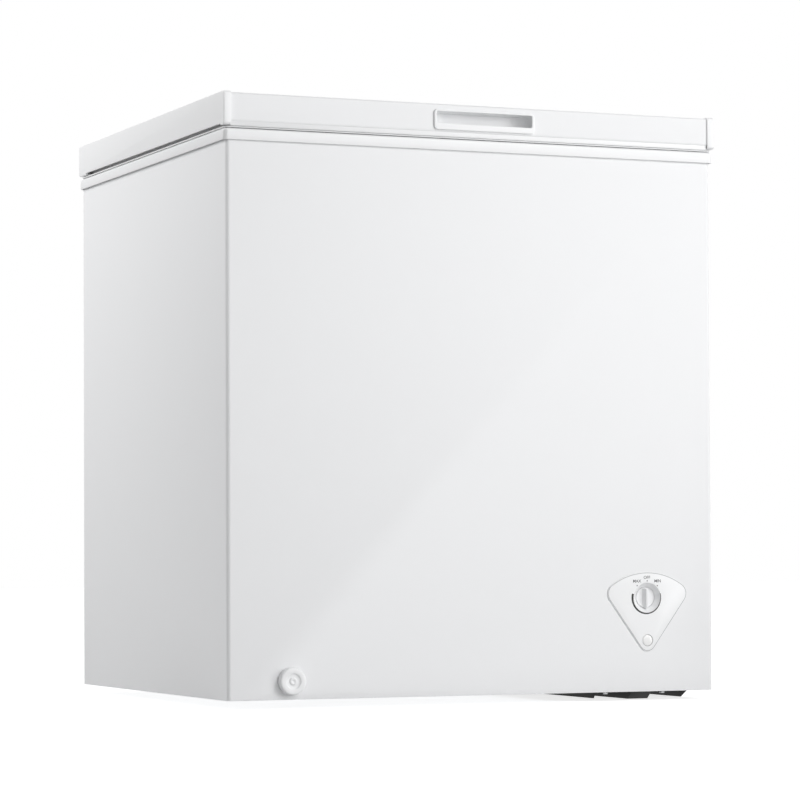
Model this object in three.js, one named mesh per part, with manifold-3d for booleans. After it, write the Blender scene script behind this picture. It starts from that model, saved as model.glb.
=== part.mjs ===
// Chest freezer of about 145 litres: a foamed steel cabinet with a stepped tub over the
// compressor compartment, a foamed lid on two sprung hinges, a hanging basket, a thermostat
// panel and a drain.
//
// Millimetres, +Z up, +X to the user's right, +Y to the back. The origin is on the floor under
// the centre of the bounding box. Inside the "freezer" group Y is measured from the cabinet's
// front face, and the group is then moved back to centre it.

import * as THREE from 'three';
import * as BufferGeometryUtils from 'three/addons/utils/BufferGeometryUtils.js';
import Module from 'manifold-3d';

const wasm = await Module();
wasm.setup();

// ---------------------------------------------------------------- driving dimensions

const WIDTH = 750;               // cabinet, over its side walls
const DEPTH = 650;               // cabinet, front face to back face
const HEIGHT = 846.5;            // floor to the top of the lid's end caps
const FLOOR_GAP = 13;            // floor to the cabinet's bottom edge

const GAP = 0.3;                 // clearance between two pieces that touch
const SHEET = 1;                 // painted steel and liner sheet
const CORNER = 4;                // cabinet's vertical corner radius
const INSULATION = 60;           // wall and floor insulation, shell to storage
const STEP_INSULATION = 50;      // insulation over and beside the compressor compartment
const LINER_CORNER = 18;         // tub's vertical corner radius

const COMPARTMENT_WIDTH = 210;   // compressor compartment, from the right wall inwards
const COMPARTMENT_HEIGHT = 242;  // and above the cabinet's bottom edge

const RIM_HEIGHT = 16;           // plastic collar round the cabinet's mouth
const RIM_OVERHANG_SIDE = 4;
const RIM_OVERHANG_FRONT = 3;
const RIM_EDGE = 4.5;            // rounding of the collar's top edge
const RIM_WALL = 4;
const RIM_LEDGE_WIDTH = 16;      // ledge that the basket hangs on
const RIM_LEDGE_DROP = 10;       // ledge below the gasket land
const RIM_LIP = 2.4;             // lip that holds the liner's top edge
const RIM_LIP_DEPTH = 12;

const LID_THICKNESS = 46.5;      // end cap, bottom to top
const LID_GAP = 4;               // end cap's bottom to the collar's top
const LID_OVERHANG_SIDE = 5;
const LID_OVERHANG_FRONT = 3.5;
const LID_OVERHANG_BACK = 1.5;
const LID_SHEET_DROP = 41.5;     // folded front and back faces of the lid's sheet
const LID_EDGE = 4;              // fold radius along the lid's front and back top edges
const CAP_WIDTH = 11;            // end cap, measured along the lid
const CAP_PLATE = 2.5;
const CAP_PROUD_TOP = 1.5;       // end cap stands out past the sheet
const CAP_PROUD_FRONT = 2;
const CAP_NOTCH = 2.5;           // end cap is shallower between its front and back corners
const LID_LINER_WALL = 2;
const LID_LINER_SKIRT = 13;
const LID_PLUG_DROP = 24;        // raised middle of the lid's inner panel, into the tub
const LID_PLUG_CLEARANCE = 12;
const GASKET_INSET = 16;         // lid's edge to the gasket's groove
const GASKET_WIDTH = 14;
const GASKET_HEIGHT = 11.5;

const HANDLE_X = 12;             // centre of the finger grip, a little right of the middle
const HANDLE_WIDTH = 156;
const HANDLE_HEIGHT = 29;
const HANDLE_BOTTOM = 4.5;       // above the lid sheet's lower edge
const HANDLE_PROUD = 2.7;
const HANDLE_CORNER = 4;
const GRIP_SIDE = 4;             // frame round the grip's mouth
const GRIP_TOP = 3;
const GRIP_BOTTOM = 9;
const GRIP_DEPTH = 24;           // pocket behind the lid's front face
const GRIP_WALL = 1.5;
const GRIP_CORNER = 15;          // rounded back corners of the pocket

const PANEL_INSET = 107;         // thermostat panel's centre line to the cabinet's side
const PANEL_TOP_RISE = 171.7;    // above the cabinet's bottom edge, as are the next three
const PANEL_BOTTOM_RISE = 57.5;
const DIAL_RISE = 135;           // knob's axis
const LENS_RISE = 73.5;          // lens's centre
const PANEL_WIDTH = 128;
const PANEL_TOP_RADIUS = 100;
const PANEL_CORNER_RADIUS = 16;
const PANEL_FOOT_RADIUS = 14;
const PANEL_THICKNESS = 0.8;
const DIAL_MOUTH_RADIUS = 21;
const KNOB_RADIUS = 14.7;
const KNOB_RECESS = 7.3;         // depth of the dial's conical wall
const CUP_WALL = 2;
const CUP_DEPTH = 15;
const CUP_SIDES = 24;            // facets of the dial's cup, and of the hole that it passes
const SPINDLE_RADIUS = 3;
const SPINDLE_REACH = 14;        // into the thermostat, past the dial's cup
const THERMOSTAT_WIDTH = 44;
const THERMOSTAT_DEPTH = 28;
const THERMOSTAT_HEIGHT = 36;
const LENS_RADIUS = 8.2;
const LENS_PROUD = 0.5;
const LENS_BACK = 6;             // lens's back face, behind the cabinet's front
const LENS_HOLE_PLAY = 3;
const LAMP_RADIUS = 5;
const LAMP_LENGTH = 22;

const DRAIN_INSET = 92.5;        // drain's centre line to the cabinet's side
const DRAIN_RISE = 25.5;         // above the cabinet's bottom edge
const DRAIN_PIPE_RADIUS = 9;
const DRAIN_BORE_RADIUS = 6;
const PIPE_SIDES = 12;           // facets of the drain pipe, and of the holes round it
const DRAIN_DEPTH = 92;          // tub's drain hole behind the front face
const DRAIN_CAP_RADIUS = 19;
const DRAIN_CAP_PROUD = 11;
const DRAIN_CAP_HOLLOW = 4;      // cap's hollow, in front of the cabinet
const DRAIN_COLLAR = 1.5;        // flange round the pipe's mouth, on the cabinet's front
const DRAIN_COLLAR_WIDTH = 5;
const STOPPER_LENGTH = 8;        // stoppers of the cap and of the tub's plug
const STOPPER_PLAY = 0.5;        // their radius under the bore's
const PLUG_HEAD_RADIUS = 16;
const PLUG_HEAD = 5;

const TUBE_RADIUS = 3;           // condenser and refrigerant tubes
const EVAPORATOR_RADIUS = 4;
const CAPILLARY_RADIUS = 1.5;
const CONDENSER_LOOPS = 5;
const CONDENSER_TOP_DROP = 80;   // top loop under the collar
const EVAPORATOR_LOOPS = 3;
const EVAPORATOR_TOP_DROP = 210;
const EVAPORATOR_STEP_RISE = 45; // lowest full loop over the step
const LOOP_END = 35;             // last loop stops this far beside the pipe that leaves it

const COMPRESSOR_RADIUS = 62;
const COMPRESSOR_HEIGHT = 160;
const COMPRESSOR_INSET = 113;    // its centre to the cabinet's side
const COMPRESSOR_BACK = 220;     // its centre in front of the cabinet's back
const GROMMET_HEIGHT = 12;
const GROMMET_RADIUS = 12;
const BRACKET_X = 50;            // grommets from the compressor's centre
const BRACKET_Y = 74;
const BRACKET_EDGE = 15;         // bracket past the grommets' centres
const BRACKET_SHEET = 3;
const BRACKET_CORNER = 12;
const TERMINALS_WIDTH = 56;      // cover over the compressor's terminals
const TERMINALS_DEPTH = 32;
const TERMINALS_LOW = 30;        // above the can's bottom
const TERMINALS_HIGH = 95;
const PORT_DROP = 20;            // tubes enter the can this far below its shoulder
const DRIER_RADIUS = 9;          // filter drier
const DRIER_LENGTH = 100;
const DRIER_CONE = 12;           // its spun ends
const DRIER_DROP = 40;           // its top under the tubes' ends
const DRIER_INSET = 35;          // in front of the cabinet's back
const DRIER_BEND = 15;           // inlet tube's bend under the tubes' ends
const CAPILLARY_RISE = 45;       // lowest run over the base plate

const PLATE_SHEET = 2;           // compressor base plate
const PLATE_LAP = 25;            // plate's left end, under the cabinet's floor pan
const PLATE_INSET = 7;           // plate's right edge to the cabinet's side
const PLATE_FRONT = 50;
const PLATE_BACK = 10;           // in front of the cabinet's back
const SKID_INSET = 92.5;         // middle runner's centre line to the cabinet's side
const SKID_WIDTH = 33;
const SKID_FRONT = 60;           // each runner's front end, and how far its top leans forward
const SKID_SLOPE = 16;
const LEFT_RUNNER = 54.5;        // left flange to the middle runner's centre line
const LEFT_RUNNER_FRONT = 96;
const LEFT_RUNNER_SLOPE = 8;
const RIGHT_RUNNER_FRONT = 85;
const RIGHT_RUNNER_SLOPE = 24;
const PLATE_SCREW_LEFT = 42;     // base plate's screws, left and right of the middle runner
const PLATE_SCREW_RIGHT = 51;
const PLATE_SCREW_FRONT = 80;
const SCREW_RADIUS = 4.5;
const HEX_HEAD = 4;
const PAN_HEAD = 2.6;
const SHELL_FLANGE = 10;         // shell's turned-in edge, along the plate's right side

const COVER_INSET = 10;          // rear cover, inside the compartment's outline
const COVER_RISE = 3;            // above the cabinet's bottom edge
const COVER_LAP = 10;            // cover over the opening's edge
const COVER_SCREW_EDGE = 5;
const LOUVRES = 9;
const LOUVRE_PITCH = 15;
const LOUVRE_SLOT = 5;
const LOUVRE_HALF = 65;
const LOUVRE_FIRST = 70;         // above the cover's lower edge
const GLAND_RIGHT = 28;          // cord gland, from the cover's lower left corner
const GLAND_UP = 32;
const GLAND_RADIUS = 7;
const GLAND_FLANGE_RADIUS = 11;
const GLAND_BORE_RADIUS = 3.5;

const HINGE_INSET = 125;         // hinge's centre line to the cabinet's side
const HINGE_BEHIND = 14;         // pin behind the cabinet's back
const HINGE_ABOVE_RIM = 5;
const HINGE_PIN_RADIUS = 3.5;
const HINGE_EAR = 4;
const HINGE_WIDTH = 44;
const HINGE_SHEET = 3;
const HINGE_PLATE_DROP = 90;     // bracket's lower edge under the collar
const HINGE_BOX_DROP = 40;       // its spring housing
const HINGE_SCREW_DROPS = { upper: 55, lower: 78 };
const SPRING_LENGTH = 12;
const SPRING_COVER = 3;          // spring's radius over the pin's

const BASKET_WIDTH = 200;        // along X
const BASKET_HEIGHT = 200;
const BASKET_INSET = 120;        // its centre at rest to the storage's right side
const BASKET_WALL = 3;
const BASKET_END_CLEARANCE = 4;
const BASKET_WIRE = 5;
const BASKET_CORNER = 12;
const BASKET_TOP_DROP = 5;       // under the lid's inner panel
const HOOK_HALF = 60;            // loop that hooks over the ledge
const HOOK_REACH = 12;
const HOOK_LAP = 10;             // loop's ends below the basket's top

const FOOT_RADIUS = 20;
const FOOT_INSET = 125;          // foot's centre to the cabinet's side
const FOOT_FRONT = 280;
const FOOT_BACK = 50;            // in front of the cabinet's back

// ---------------------------------------------------------------- derived places

const SIDE = WIDTH / 2;
const INNER = SIDE - SHEET;                            // shell's inner face
const FILL = INNER - GAP;                              // what stands against it
const LINER_SIDE = SIDE - INSULATION;                  // storage, half its width
const LINER_FRONT = INSULATION;
const LINER_BACK = DEPTH - INSULATION;
const LINER_FLOOR = FLOOR_GAP + INSULATION;

const COMPARTMENT_X = SIDE - COMPARTMENT_WIDTH;
const COMPARTMENT_TOP = FLOOR_GAP + COMPARTMENT_HEIGHT;
const STEP_X = COMPARTMENT_X - STEP_INSULATION;
const STEP_FLOOR = COMPARTMENT_TOP + STEP_INSULATION;

const DRAIN_X = -SIDE + DRAIN_INSET;
const DRAIN_HEIGHT = FLOOR_GAP + DRAIN_RISE;
const FOOT_X = -SIDE + FOOT_INSET;
const HINGE_X = SIDE - HINGE_INSET;
const BASKET_X = LINER_SIDE - BASKET_INSET;

const CAP_BOTTOM = HEIGHT - LID_THICKNESS;
const RIM_TOP = CAP_BOTTOM - LID_GAP;
const RIM_BOTTOM = RIM_TOP - RIM_HEIGHT;
const LEDGE = RIM_TOP - RIM_LEDGE_DROP;
const SHELL_TOP = RIM_TOP - RIM_WALL - GAP;
const LINER_TOP = LEDGE - RIM_WALL - GAP;
const RIM_MOUTH_SIDE = LINER_SIDE - GAP - RIM_LIP;
const RIM_MOUTH_FRONT = LINER_FRONT + GAP + RIM_LIP;
const RIM_MOUTH_BACK = LINER_BACK - GAP - RIM_LIP;

const LID_SIDE = SIDE + LID_OVERHANG_SIDE;
const LID_TOP = HEIGHT - CAP_PROUD_TOP;
const LID_FRONT = -LID_OVERHANG_FRONT;
const LID_BACK = DEPTH + LID_OVERHANG_BACK;
const LID_SHEET_BOTTOM = LID_TOP - LID_SHEET_DROP;
const LID_LINER_BOTTOM = CAP_BOTTOM - 1;
const LID_LINER_SIDE = LID_SIDE - CAP_WIDTH - GAP;
const LID_LINER_FRONT = LID_FRONT + SHEET + GAP;
const LID_LINER_BACK = LID_BACK - SHEET - GAP;
const GASKET_BOTTOM = RIM_TOP + GAP;
const GASKET_TOP = GASKET_BOTTOM + GASKET_HEIGHT;
const PLUG_SIDE = RIM_MOUTH_SIDE - LID_PLUG_CLEARANCE;
const PLUG_FRONT = RIM_MOUTH_FRONT + LID_PLUG_CLEARANCE;
const PLUG_BACK = RIM_MOUTH_BACK - LID_PLUG_CLEARANCE;
const PLUG_BOTTOM = LID_LINER_BOTTOM - LID_PLUG_DROP;

const GRIP_Z0 = LID_SHEET_BOTTOM + HANDLE_BOTTOM + GRIP_BOTTOM;
const GRIP_Z1 = LID_SHEET_BOTTOM + HANDLE_BOTTOM + HANDLE_HEIGHT - GRIP_TOP;
const GRIP_HALF = HANDLE_WIDTH / 2 - GRIP_SIDE;
const GRIP_BACK = LID_FRONT + GRIP_DEPTH;

const PANEL_X = SIDE - PANEL_INSET;
const PANEL_TOP = FLOOR_GAP + PANEL_TOP_RISE;
const PANEL_BOTTOM = FLOOR_GAP + PANEL_BOTTOM_RISE;
const DIAL_HEIGHT = FLOOR_GAP + DIAL_RISE;
const LENS_HEIGHT = FLOOR_GAP + LENS_RISE;
const PANEL_BACK = -GAP;
const PANEL_FRONT = PANEL_BACK - PANEL_THICKNESS;
const CUP_BACK = PANEL_FRONT + CUP_DEPTH;
const CUP_RADIUS = DIAL_MOUTH_RADIUS + CUP_WALL;
const KNOB_WELL_RADIUS = KNOB_RADIUS + GAP;
const KNOB_FRONT = PANEL_FRONT + KNOB_RECESS;          // face of the knob's disc
const KNOB_DISC = 3.4;
const KNOB_BACK = KNOB_FRONT + KNOB_DISC;
const KNOB_GRIP_HALF = 0.245 * KNOB_RADIUS;            // the ridge across the knob
const KNOB_POINTER_HALF = 0.136 * KNOB_RADIUS;
const KNOB_POINTER_PAST = 1.6;
const KNOB_POINTER_LOW = 2.4;                          // from the disc's face
const KNOB_POINTER_HIGH = 5;
const SPINDLE_END = CUP_BACK + SPINDLE_REACH;

const PLATE_TOP = FLOOR_GAP - GAP;
const PLATE_BOTTOM = PLATE_TOP - PLATE_SHEET;
const PLATE_LEFT = COMPARTMENT_X - PLATE_LAP;
const PLATE_RIGHT = SIDE - PLATE_INSET;
const SKID_X = SIDE - SKID_INSET;
const COMPRESSOR_X = SIDE - COMPRESSOR_INSET;
const COMPRESSOR_Y = DEPTH - COMPRESSOR_BACK;
const BRACKET_BOTTOM = PLATE_TOP + GAP + GROMMET_HEIGHT + GAP;
const BRACKET_TOP = BRACKET_BOTTOM + BRACKET_SHEET;
const COMPRESSOR_BOTTOM = BRACKET_TOP + GAP;
const PORT_HEIGHT = COMPRESSOR_BOTTOM + 0.75 * COMPRESSOR_HEIGHT - PORT_DROP;

const COVER_X0 = COMPARTMENT_X + COVER_INSET;
const COVER_X1 = SIDE - COVER_INSET;
const COVER_Z0 = FLOOR_GAP + COVER_RISE;
const COVER_Z1 = COMPARTMENT_TOP - COVER_INSET;
const GLAND_X = COVER_X0 + GLAND_RIGHT;
const GLAND_Z = COVER_Z0 + GLAND_UP;

const HINGE_Y = DEPTH + HINGE_BEHIND;
const HINGE_Z = RIM_TOP + HINGE_ABOVE_RIM;
const HINGE_EAR_RADIUS = 8;
const BACK_MOST = HINGE_Y + HINGE_EAR_RADIUS;
const FRONT_MOST = -DRAIN_CAP_PROUD;

// ---------------------------------------------------------------- materials

function look(color, roughness, metalness = 0) {
  return new THREE.MeshStandardMaterial({ color, roughness, metalness });
}

const WHITE_STEEL = look(0xf2f3f4, 0.35);
const WHITE_PLASTIC = look(0xf5f6f7, 0.4);
const GASKET_GREY = look(0xdcdedf, 0.7);
const FOAM = look(0xe8d9a8, 0.95);
const LINER_METAL = look(0xd9dcdf, 0.45, 0.8);
const BLACK_STEEL = look(0x101112, 0.45, 0.2);
const BLACK_PLASTIC = look(0x18191a, 0.6);
const RUBBER = look(0x1c1c1c, 0.85);
const COPPER = look(0xb87346, 0.35, 0.9);
const ZINC = look(0xc4c7ca, 0.35, 0.9);
const BASKET_WHITE = look(0xf4f5f6, 0.4);
const KNOB_GREY = look(0xd8dadb, 0.45);
const LENS_CLEAR = look(0xf0f1ef, 0.2);

// ---------------------------------------------------------------- building blocks

const freezer = new THREE.Group();
freezer.position.y = -(FRONT_MOST + BACK_MOST) / 2;

/** A closed geometry as a manifold solid. */
function solid(geometry) {
  const bare = geometry.clone();
  bare.deleteAttribute('normal');
  bare.deleteAttribute('uv');
  const merged = BufferGeometryUtils.mergeVertices(bare, 1e-4);
  const mesh = new wasm.Mesh({
    numProp: 3,
    vertProperties: new Float32Array(merged.attributes.position.array),
    triVerts: new Uint32Array(merged.index.array),
  });
  return new wasm.Manifold(mesh);
}

/** Adds a solid to the model as one named mesh. */
function piece(name, body, material) {
  const shape = body.getMesh();
  const geometry = new THREE.BufferGeometry();
  geometry.setAttribute('position', new THREE.BufferAttribute(shape.vertProperties, 3));
  geometry.setIndex(new THREE.BufferAttribute(shape.triVerts, 1));
  const flat = geometry.toNonIndexed();
  flat.computeVertexNormals();
  const mesh = new THREE.Mesh(flat, material);
  mesh.name = name;
  freezer.add(mesh);
}

function box(x0, x1, y0, y1, z0, z1) {
  const geometry = new THREE.BoxGeometry(x1 - x0, y1 - y0, z1 - z0);
  geometry.translate((x0 + x1) / 2, (y0 + y1) / 2, (z0 + z1) / 2);
  return solid(geometry);
}

/** A shape drawn in X and Y, raised from z0 to z1. */
function prismZ(shape, z0, z1, curveSegments = 4) {
  const geometry = new THREE.ExtrudeGeometry(shape, { depth: z1 - z0, bevelEnabled: false, curveSegments });
  geometry.translate(0, 0, z0);
  return solid(geometry);
}

/** A shape drawn in Y and Z, running from x0 to x1. */
function prismX(shape, x0, x1, curveSegments = 4) {
  const geometry = new THREE.ExtrudeGeometry(shape, { depth: x1 - x0, bevelEnabled: false, curveSegments });
  const axes = [new THREE.Vector3(0, 1, 0), new THREE.Vector3(0, 0, 1), new THREE.Vector3(1, 0, 0)];
  geometry.applyMatrix4(new THREE.Matrix4().makeBasis(...axes));
  geometry.translate(x0, 0, 0);
  return solid(geometry);
}

/** A shape drawn in X and Z, running from y0 to y1. */
function prismY(shape, y0, y1, curveSegments = 4) {
  const geometry = new THREE.ExtrudeGeometry(shape, { depth: y1 - y0, bevelEnabled: false, curveSegments });
  const axes = [new THREE.Vector3(1, 0, 0), new THREE.Vector3(0, 0, 1), new THREE.Vector3(0, -1, 0)];
  geometry.applyMatrix4(new THREE.Matrix4().makeBasis(...axes));
  geometry.translate(0, y1, 0);
  return solid(geometry);
}

/** A rectangle with round corners, from (a0, b0) to (a1, b1). */
function roundedRectangle(a0, a1, b0, b1, radius) {
  const shape = new THREE.Shape();
  shape.absarc(a1 - radius, b1 - radius, radius, 0, Math.PI / 2, false);
  shape.absarc(a0 + radius, b1 - radius, radius, Math.PI / 2, Math.PI, false);
  shape.absarc(a0 + radius, b0 + radius, radius, Math.PI, 1.5 * Math.PI, false);
  shape.absarc(a1 - radius, b0 + radius, radius, 1.5 * Math.PI, 2 * Math.PI, false);
  shape.closePath();
  return shape;
}

/** A rectangle whose two upper corners are round. */
function archRectangle(a0, a1, b0, b1, radius) {
  const shape = new THREE.Shape();
  shape.moveTo(a0, b0);
  shape.lineTo(a1, b0);
  shape.absarc(a1 - radius, b1 - radius, radius, 0, Math.PI / 2, false);
  shape.absarc(a0 + radius, b1 - radius, radius, Math.PI / 2, Math.PI, false);
  shape.closePath();
  return shape;
}

/** A round bar from one point to another. */
function bar(from, to, radius, sides = 16) {
  const a = new THREE.Vector3(...from);
  const b = new THREE.Vector3(...to);
  const geometry = new THREE.CylinderGeometry(radius, radius, a.distanceTo(b), sides);
  const turn = new THREE.Quaternion();
  turn.setFromUnitVectors(new THREE.Vector3(0, 1, 0), b.clone().sub(a).normalize());
  geometry.applyQuaternion(turn);
  geometry.translate(...a.clone().add(b).multiplyScalar(0.5).toArray());
  return solid(geometry);
}

const BEND = 0.4;                // how far a tube's straight runs pass each bend, by its radius

/** A round tube's outside through a list of points, with chamfered bends. */
function pipe(points, radius, sides = 6) {
  let body = null;
  const last = points.length - 2;
  for (let i = 0; i <= last; i += 1) {
    const from = new THREE.Vector3(...points[i]);
    const to = new THREE.Vector3(...points[i + 1]);
    const reach = to.clone().sub(from).setLength(BEND * radius);
    if (i > 0) from.sub(reach);
    if (i < last) to.add(reach);
    const part = bar(from.toArray(), to.toArray(), radius, sides);
    body = body ? body.add(part) : part;
  }
  return body;
}

/** The square channel that a pipe along the axes lies in, with a clearance all round. */
function channel(points, radius) {
  const reach = radius + GAP;
  let body = null;
  for (let i = 0; i < points.length - 1; i += 1) {
    const low = points[i].map((value, axis) => Math.min(value, points[i + 1][axis]) - reach);
    const high = points[i].map((value, axis) => Math.max(value, points[i + 1][axis]) + reach);
    const part = box(low[0], high[0], low[1], high[1], low[2], high[2]);
    body = body ? body.add(part) : part;
  }
  return body;
}

/** A body turned about a vertical line, from a profile of [radius, z] points on the axis. */
function turnedZ(x, y, profile, sides = 20) {
  const geometry = new THREE.LatheGeometry(profile.map(([r, z]) => new THREE.Vector2(r, z)), sides);
  geometry.rotateX(Math.PI / 2);
  geometry.translate(x, y, 0);
  return solid(geometry);
}

/** A screw's head, seen along Y, standing on a face at y. */
function screwY(name, x, y, z) {
  piece(name, bar([x, y + GAP, z], [x, y + GAP + PAN_HEAD, z], SCREW_RADIUS, 8), ZINC);
}

// ---------------------------------------------------------------- refrigerant circuit routes

/** Loops round the cabinet that start at the right wall and run front, left and rear in turn. */
function loops(side, front, back, startY, endX, bottom, pitch, count) {
  const points = [];
  for (let i = 0; i < count; i += 1) {
    const z = bottom + i * pitch;
    const ring = [[side, startY, z], [side, front, z], [-side, front, z], [-side, back, z], [endX, back, z]];
    points.push(...(i % 2 ? ring.reverse() : ring));
  }
  return points;
}

const TAIL_BOTTOM = COMPARTMENT_TOP - 15;
const CONDENSER_SIDE = FILL - TUBE_RADIUS;
const CONDENSER_Y = DEPTH - 90;
const CONDENSER_RETURN_X = SIDE - 40;
const CONDENSER_BACK = DEPTH - SHEET - GAP - TUBE_RADIUS;
const CONDENSER_LOW = STEP_FLOOR - 5;
const CONDENSER_PITCH = (RIM_BOTTOM - CONDENSER_TOP_DROP - CONDENSER_LOW) / (CONDENSER_LOOPS - 1);
const condenserLoops = loops(
  CONDENSER_SIDE, SHEET + GAP + TUBE_RADIUS, CONDENSER_BACK, CONDENSER_Y, CONDENSER_RETURN_X - LOOP_END,
  CONDENSER_LOW, CONDENSER_PITCH, CONDENSER_LOOPS,
);
const condenserTopZ = condenserLoops[condenserLoops.length - 1][2];
const condenserRoute = [
  [CONDENSER_SIDE, CONDENSER_Y, TAIL_BOTTOM],
  ...condenserLoops,
  [CONDENSER_RETURN_X, CONDENSER_BACK, condenserTopZ],
  [CONDENSER_RETURN_X, CONDENSER_BACK, TAIL_BOTTOM],
];

const EVAPORATOR_OUT = SHEET + GAP + EVAPORATOR_RADIUS;    // from the storage's faces
const EVAPORATOR_SIDE = LINER_SIDE + EVAPORATOR_OUT;
const EVAPORATOR_FRONT = LINER_FRONT - EVAPORATOR_OUT;
const EVAPORATOR_BACK = LINER_BACK + EVAPORATOR_OUT;
const EVAPORATOR_Y = DEPTH - 150;
const EVAPORATOR_LOW = LINER_FLOOR + 50;
const EVAPORATOR_STEP_X = STEP_X + EVAPORATOR_OUT;
const EVAPORATOR_STEP_LOW = STEP_FLOOR + EVAPORATOR_STEP_RISE;
const EVAPORATOR_PITCH = (RIM_BOTTOM - EVAPORATOR_TOP_DROP - EVAPORATOR_STEP_LOW) / (EVAPORATOR_LOOPS - 1);
const evaporatorLoops = loops(
  EVAPORATOR_SIDE, EVAPORATOR_FRONT, EVAPORATOR_BACK, EVAPORATOR_Y, COMPRESSOR_X - LOOP_END,
  EVAPORATOR_STEP_LOW, EVAPORATOR_PITCH, EVAPORATOR_LOOPS,
);
const evaporatorTopZ = evaporatorLoops[evaporatorLoops.length - 1][2];
const lowLoop = [
  [-EVAPORATOR_SIDE, EVAPORATOR_FRONT, EVAPORATOR_LOW],
  [EVAPORATOR_STEP_X, EVAPORATOR_FRONT, EVAPORATOR_LOW],
  [EVAPORATOR_STEP_X, EVAPORATOR_BACK, EVAPORATOR_LOW],
  [-EVAPORATOR_SIDE, EVAPORATOR_BACK, EVAPORATOR_LOW],
];
const evaporatorRoute = [
  [EVAPORATOR_SIDE, EVAPORATOR_Y, TAIL_BOTTOM],
  ...evaporatorLoops.slice(0, 3),
  ...lowLoop,
  ...evaporatorLoops.slice(3),
  [COMPRESSOR_X, EVAPORATOR_BACK, evaporatorTopZ],
  [COMPRESSOR_X, EVAPORATOR_BACK, TAIL_BOTTOM],
];

const drainRoute = [
  [DRAIN_X, DRAIN_DEPTH, LINER_FLOOR - SHEET - GAP],
  [DRAIN_X, DRAIN_DEPTH, DRAIN_HEIGHT],
  [DRAIN_X, -GAP, DRAIN_HEIGHT],
];

// ---------------------------------------------------------------- cabinet

/** The storage's inside, grown by an amount: the deep tub and the shallower part over the step. */
function storage(grow, top) {
  const corner = LINER_CORNER + grow;
  const front = LINER_FRONT - grow;
  const back = LINER_BACK + grow;
  const deep = roundedRectangle(-LINER_SIDE - grow, STEP_X + grow, front, back, corner);
  const wide = roundedRectangle(-LINER_SIDE - grow, LINER_SIDE + grow, front, back, corner);
  return prismZ(deep, LINER_FLOOR - grow, top, 3).add(prismZ(wide, STEP_FLOOR - grow, top, 3));
}

function cabinetShell() {
  const outer = prismZ(roundedRectangle(-SIDE, SIDE, 0, DEPTH, CORNER), FLOOR_GAP, SHELL_TOP);
  const inner = roundedRectangle(-INNER, INNER, SHEET, DEPTH - SHEET, CORNER - SHEET);
  let shell = outer.subtract(prismZ(inner, FLOOR_GAP - 1, SHELL_TOP + 1));
  shell = shell.add(box(
    PLATE_RIGHT - SHELL_FLANGE, SIDE - SHEET / 2, CORNER, DEPTH - CORNER, FLOOR_GAP, FLOOR_GAP + SHEET,
  ));
  const frontHoles = [
    [PANEL_X, DIAL_HEIGHT, CUP_RADIUS + GAP, CUP_SIDES],
    [PANEL_X, LENS_HEIGHT, LENS_RADIUS + LENS_HOLE_PLAY, CUP_SIDES],
    [DRAIN_X, DRAIN_HEIGHT, DRAIN_PIPE_RADIUS + GAP, PIPE_SIDES],
  ];
  for (const [x, z, radius, sides] of frontHoles) {
    shell = shell.subtract(bar([x, -1, z], [x, SHEET + 1, z], radius, sides));
  }
  return shell.subtract(box(
    COVER_X0 + COVER_LAP, COVER_X1 - COVER_LAP, DEPTH - SHEET - 1, DEPTH + 1,
    COVER_Z0 + COVER_LAP, COVER_Z1 - COVER_LAP,
  ));
}

function bottomPan() {
  const front = SHEET + GAP;
  const back = DEPTH - SHEET - GAP;
  const floor = box(-FILL, COMPARTMENT_X, front, back, FLOOR_GAP, FLOOR_GAP + SHEET);
  const wall = box(COMPARTMENT_X - SHEET, COMPARTMENT_X, front, back, FLOOR_GAP, COMPARTMENT_TOP);
  const roof = box(COMPARTMENT_X - SHEET, FILL, front, back, COMPARTMENT_TOP - SHEET, COMPARTMENT_TOP);
  const fill = prismZ(roundedRectangle(-FILL, FILL, front, back, CORNER - SHEET), FLOOR_GAP, COMPARTMENT_TOP);
  const pan = floor.add(wall).add(roof).intersect(fill).subtract(channel(condenserRoute, TUBE_RADIUS));
  return pan.subtract(channel(evaporatorRoute, EVAPORATOR_RADIUS));
}

function cabinetFoam() {
  const front = SHEET + GAP;
  const back = DEPTH - SHEET - GAP;
  const top = LINER_TOP;
  const low = FLOOR_GAP + SHEET + GAP;
  const block = prismZ(roundedRectangle(-FILL, FILL, front, back, CORNER - SHEET), low, top);
  const compartmentX = COMPARTMENT_X - SHEET - GAP;
  let foam = block.subtract(box(compartmentX, SIDE, 0, DEPTH, 0, COMPARTMENT_TOP + GAP));
  foam = foam.subtract(storage(SHEET + GAP, top + 1));
  foam = foam.subtract(channel(condenserRoute, TUBE_RADIUS));
  foam = foam.subtract(channel(evaporatorRoute, EVAPORATOR_RADIUS));
  return foam.subtract(channel(drainRoute, DRAIN_PIPE_RADIUS));
}

function innerLiner() {
  const tub = storage(SHEET, LINER_TOP).subtract(storage(0, LINER_TOP + 1));
  const x = DRAIN_X;
  const y = DRAIN_DEPTH;
  return tub.subtract(bar([x, y, LINER_FLOOR - SHEET - 1], [x, y, LINER_FLOOR + 1], DRAIN_BORE_RADIUS));
}

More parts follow.
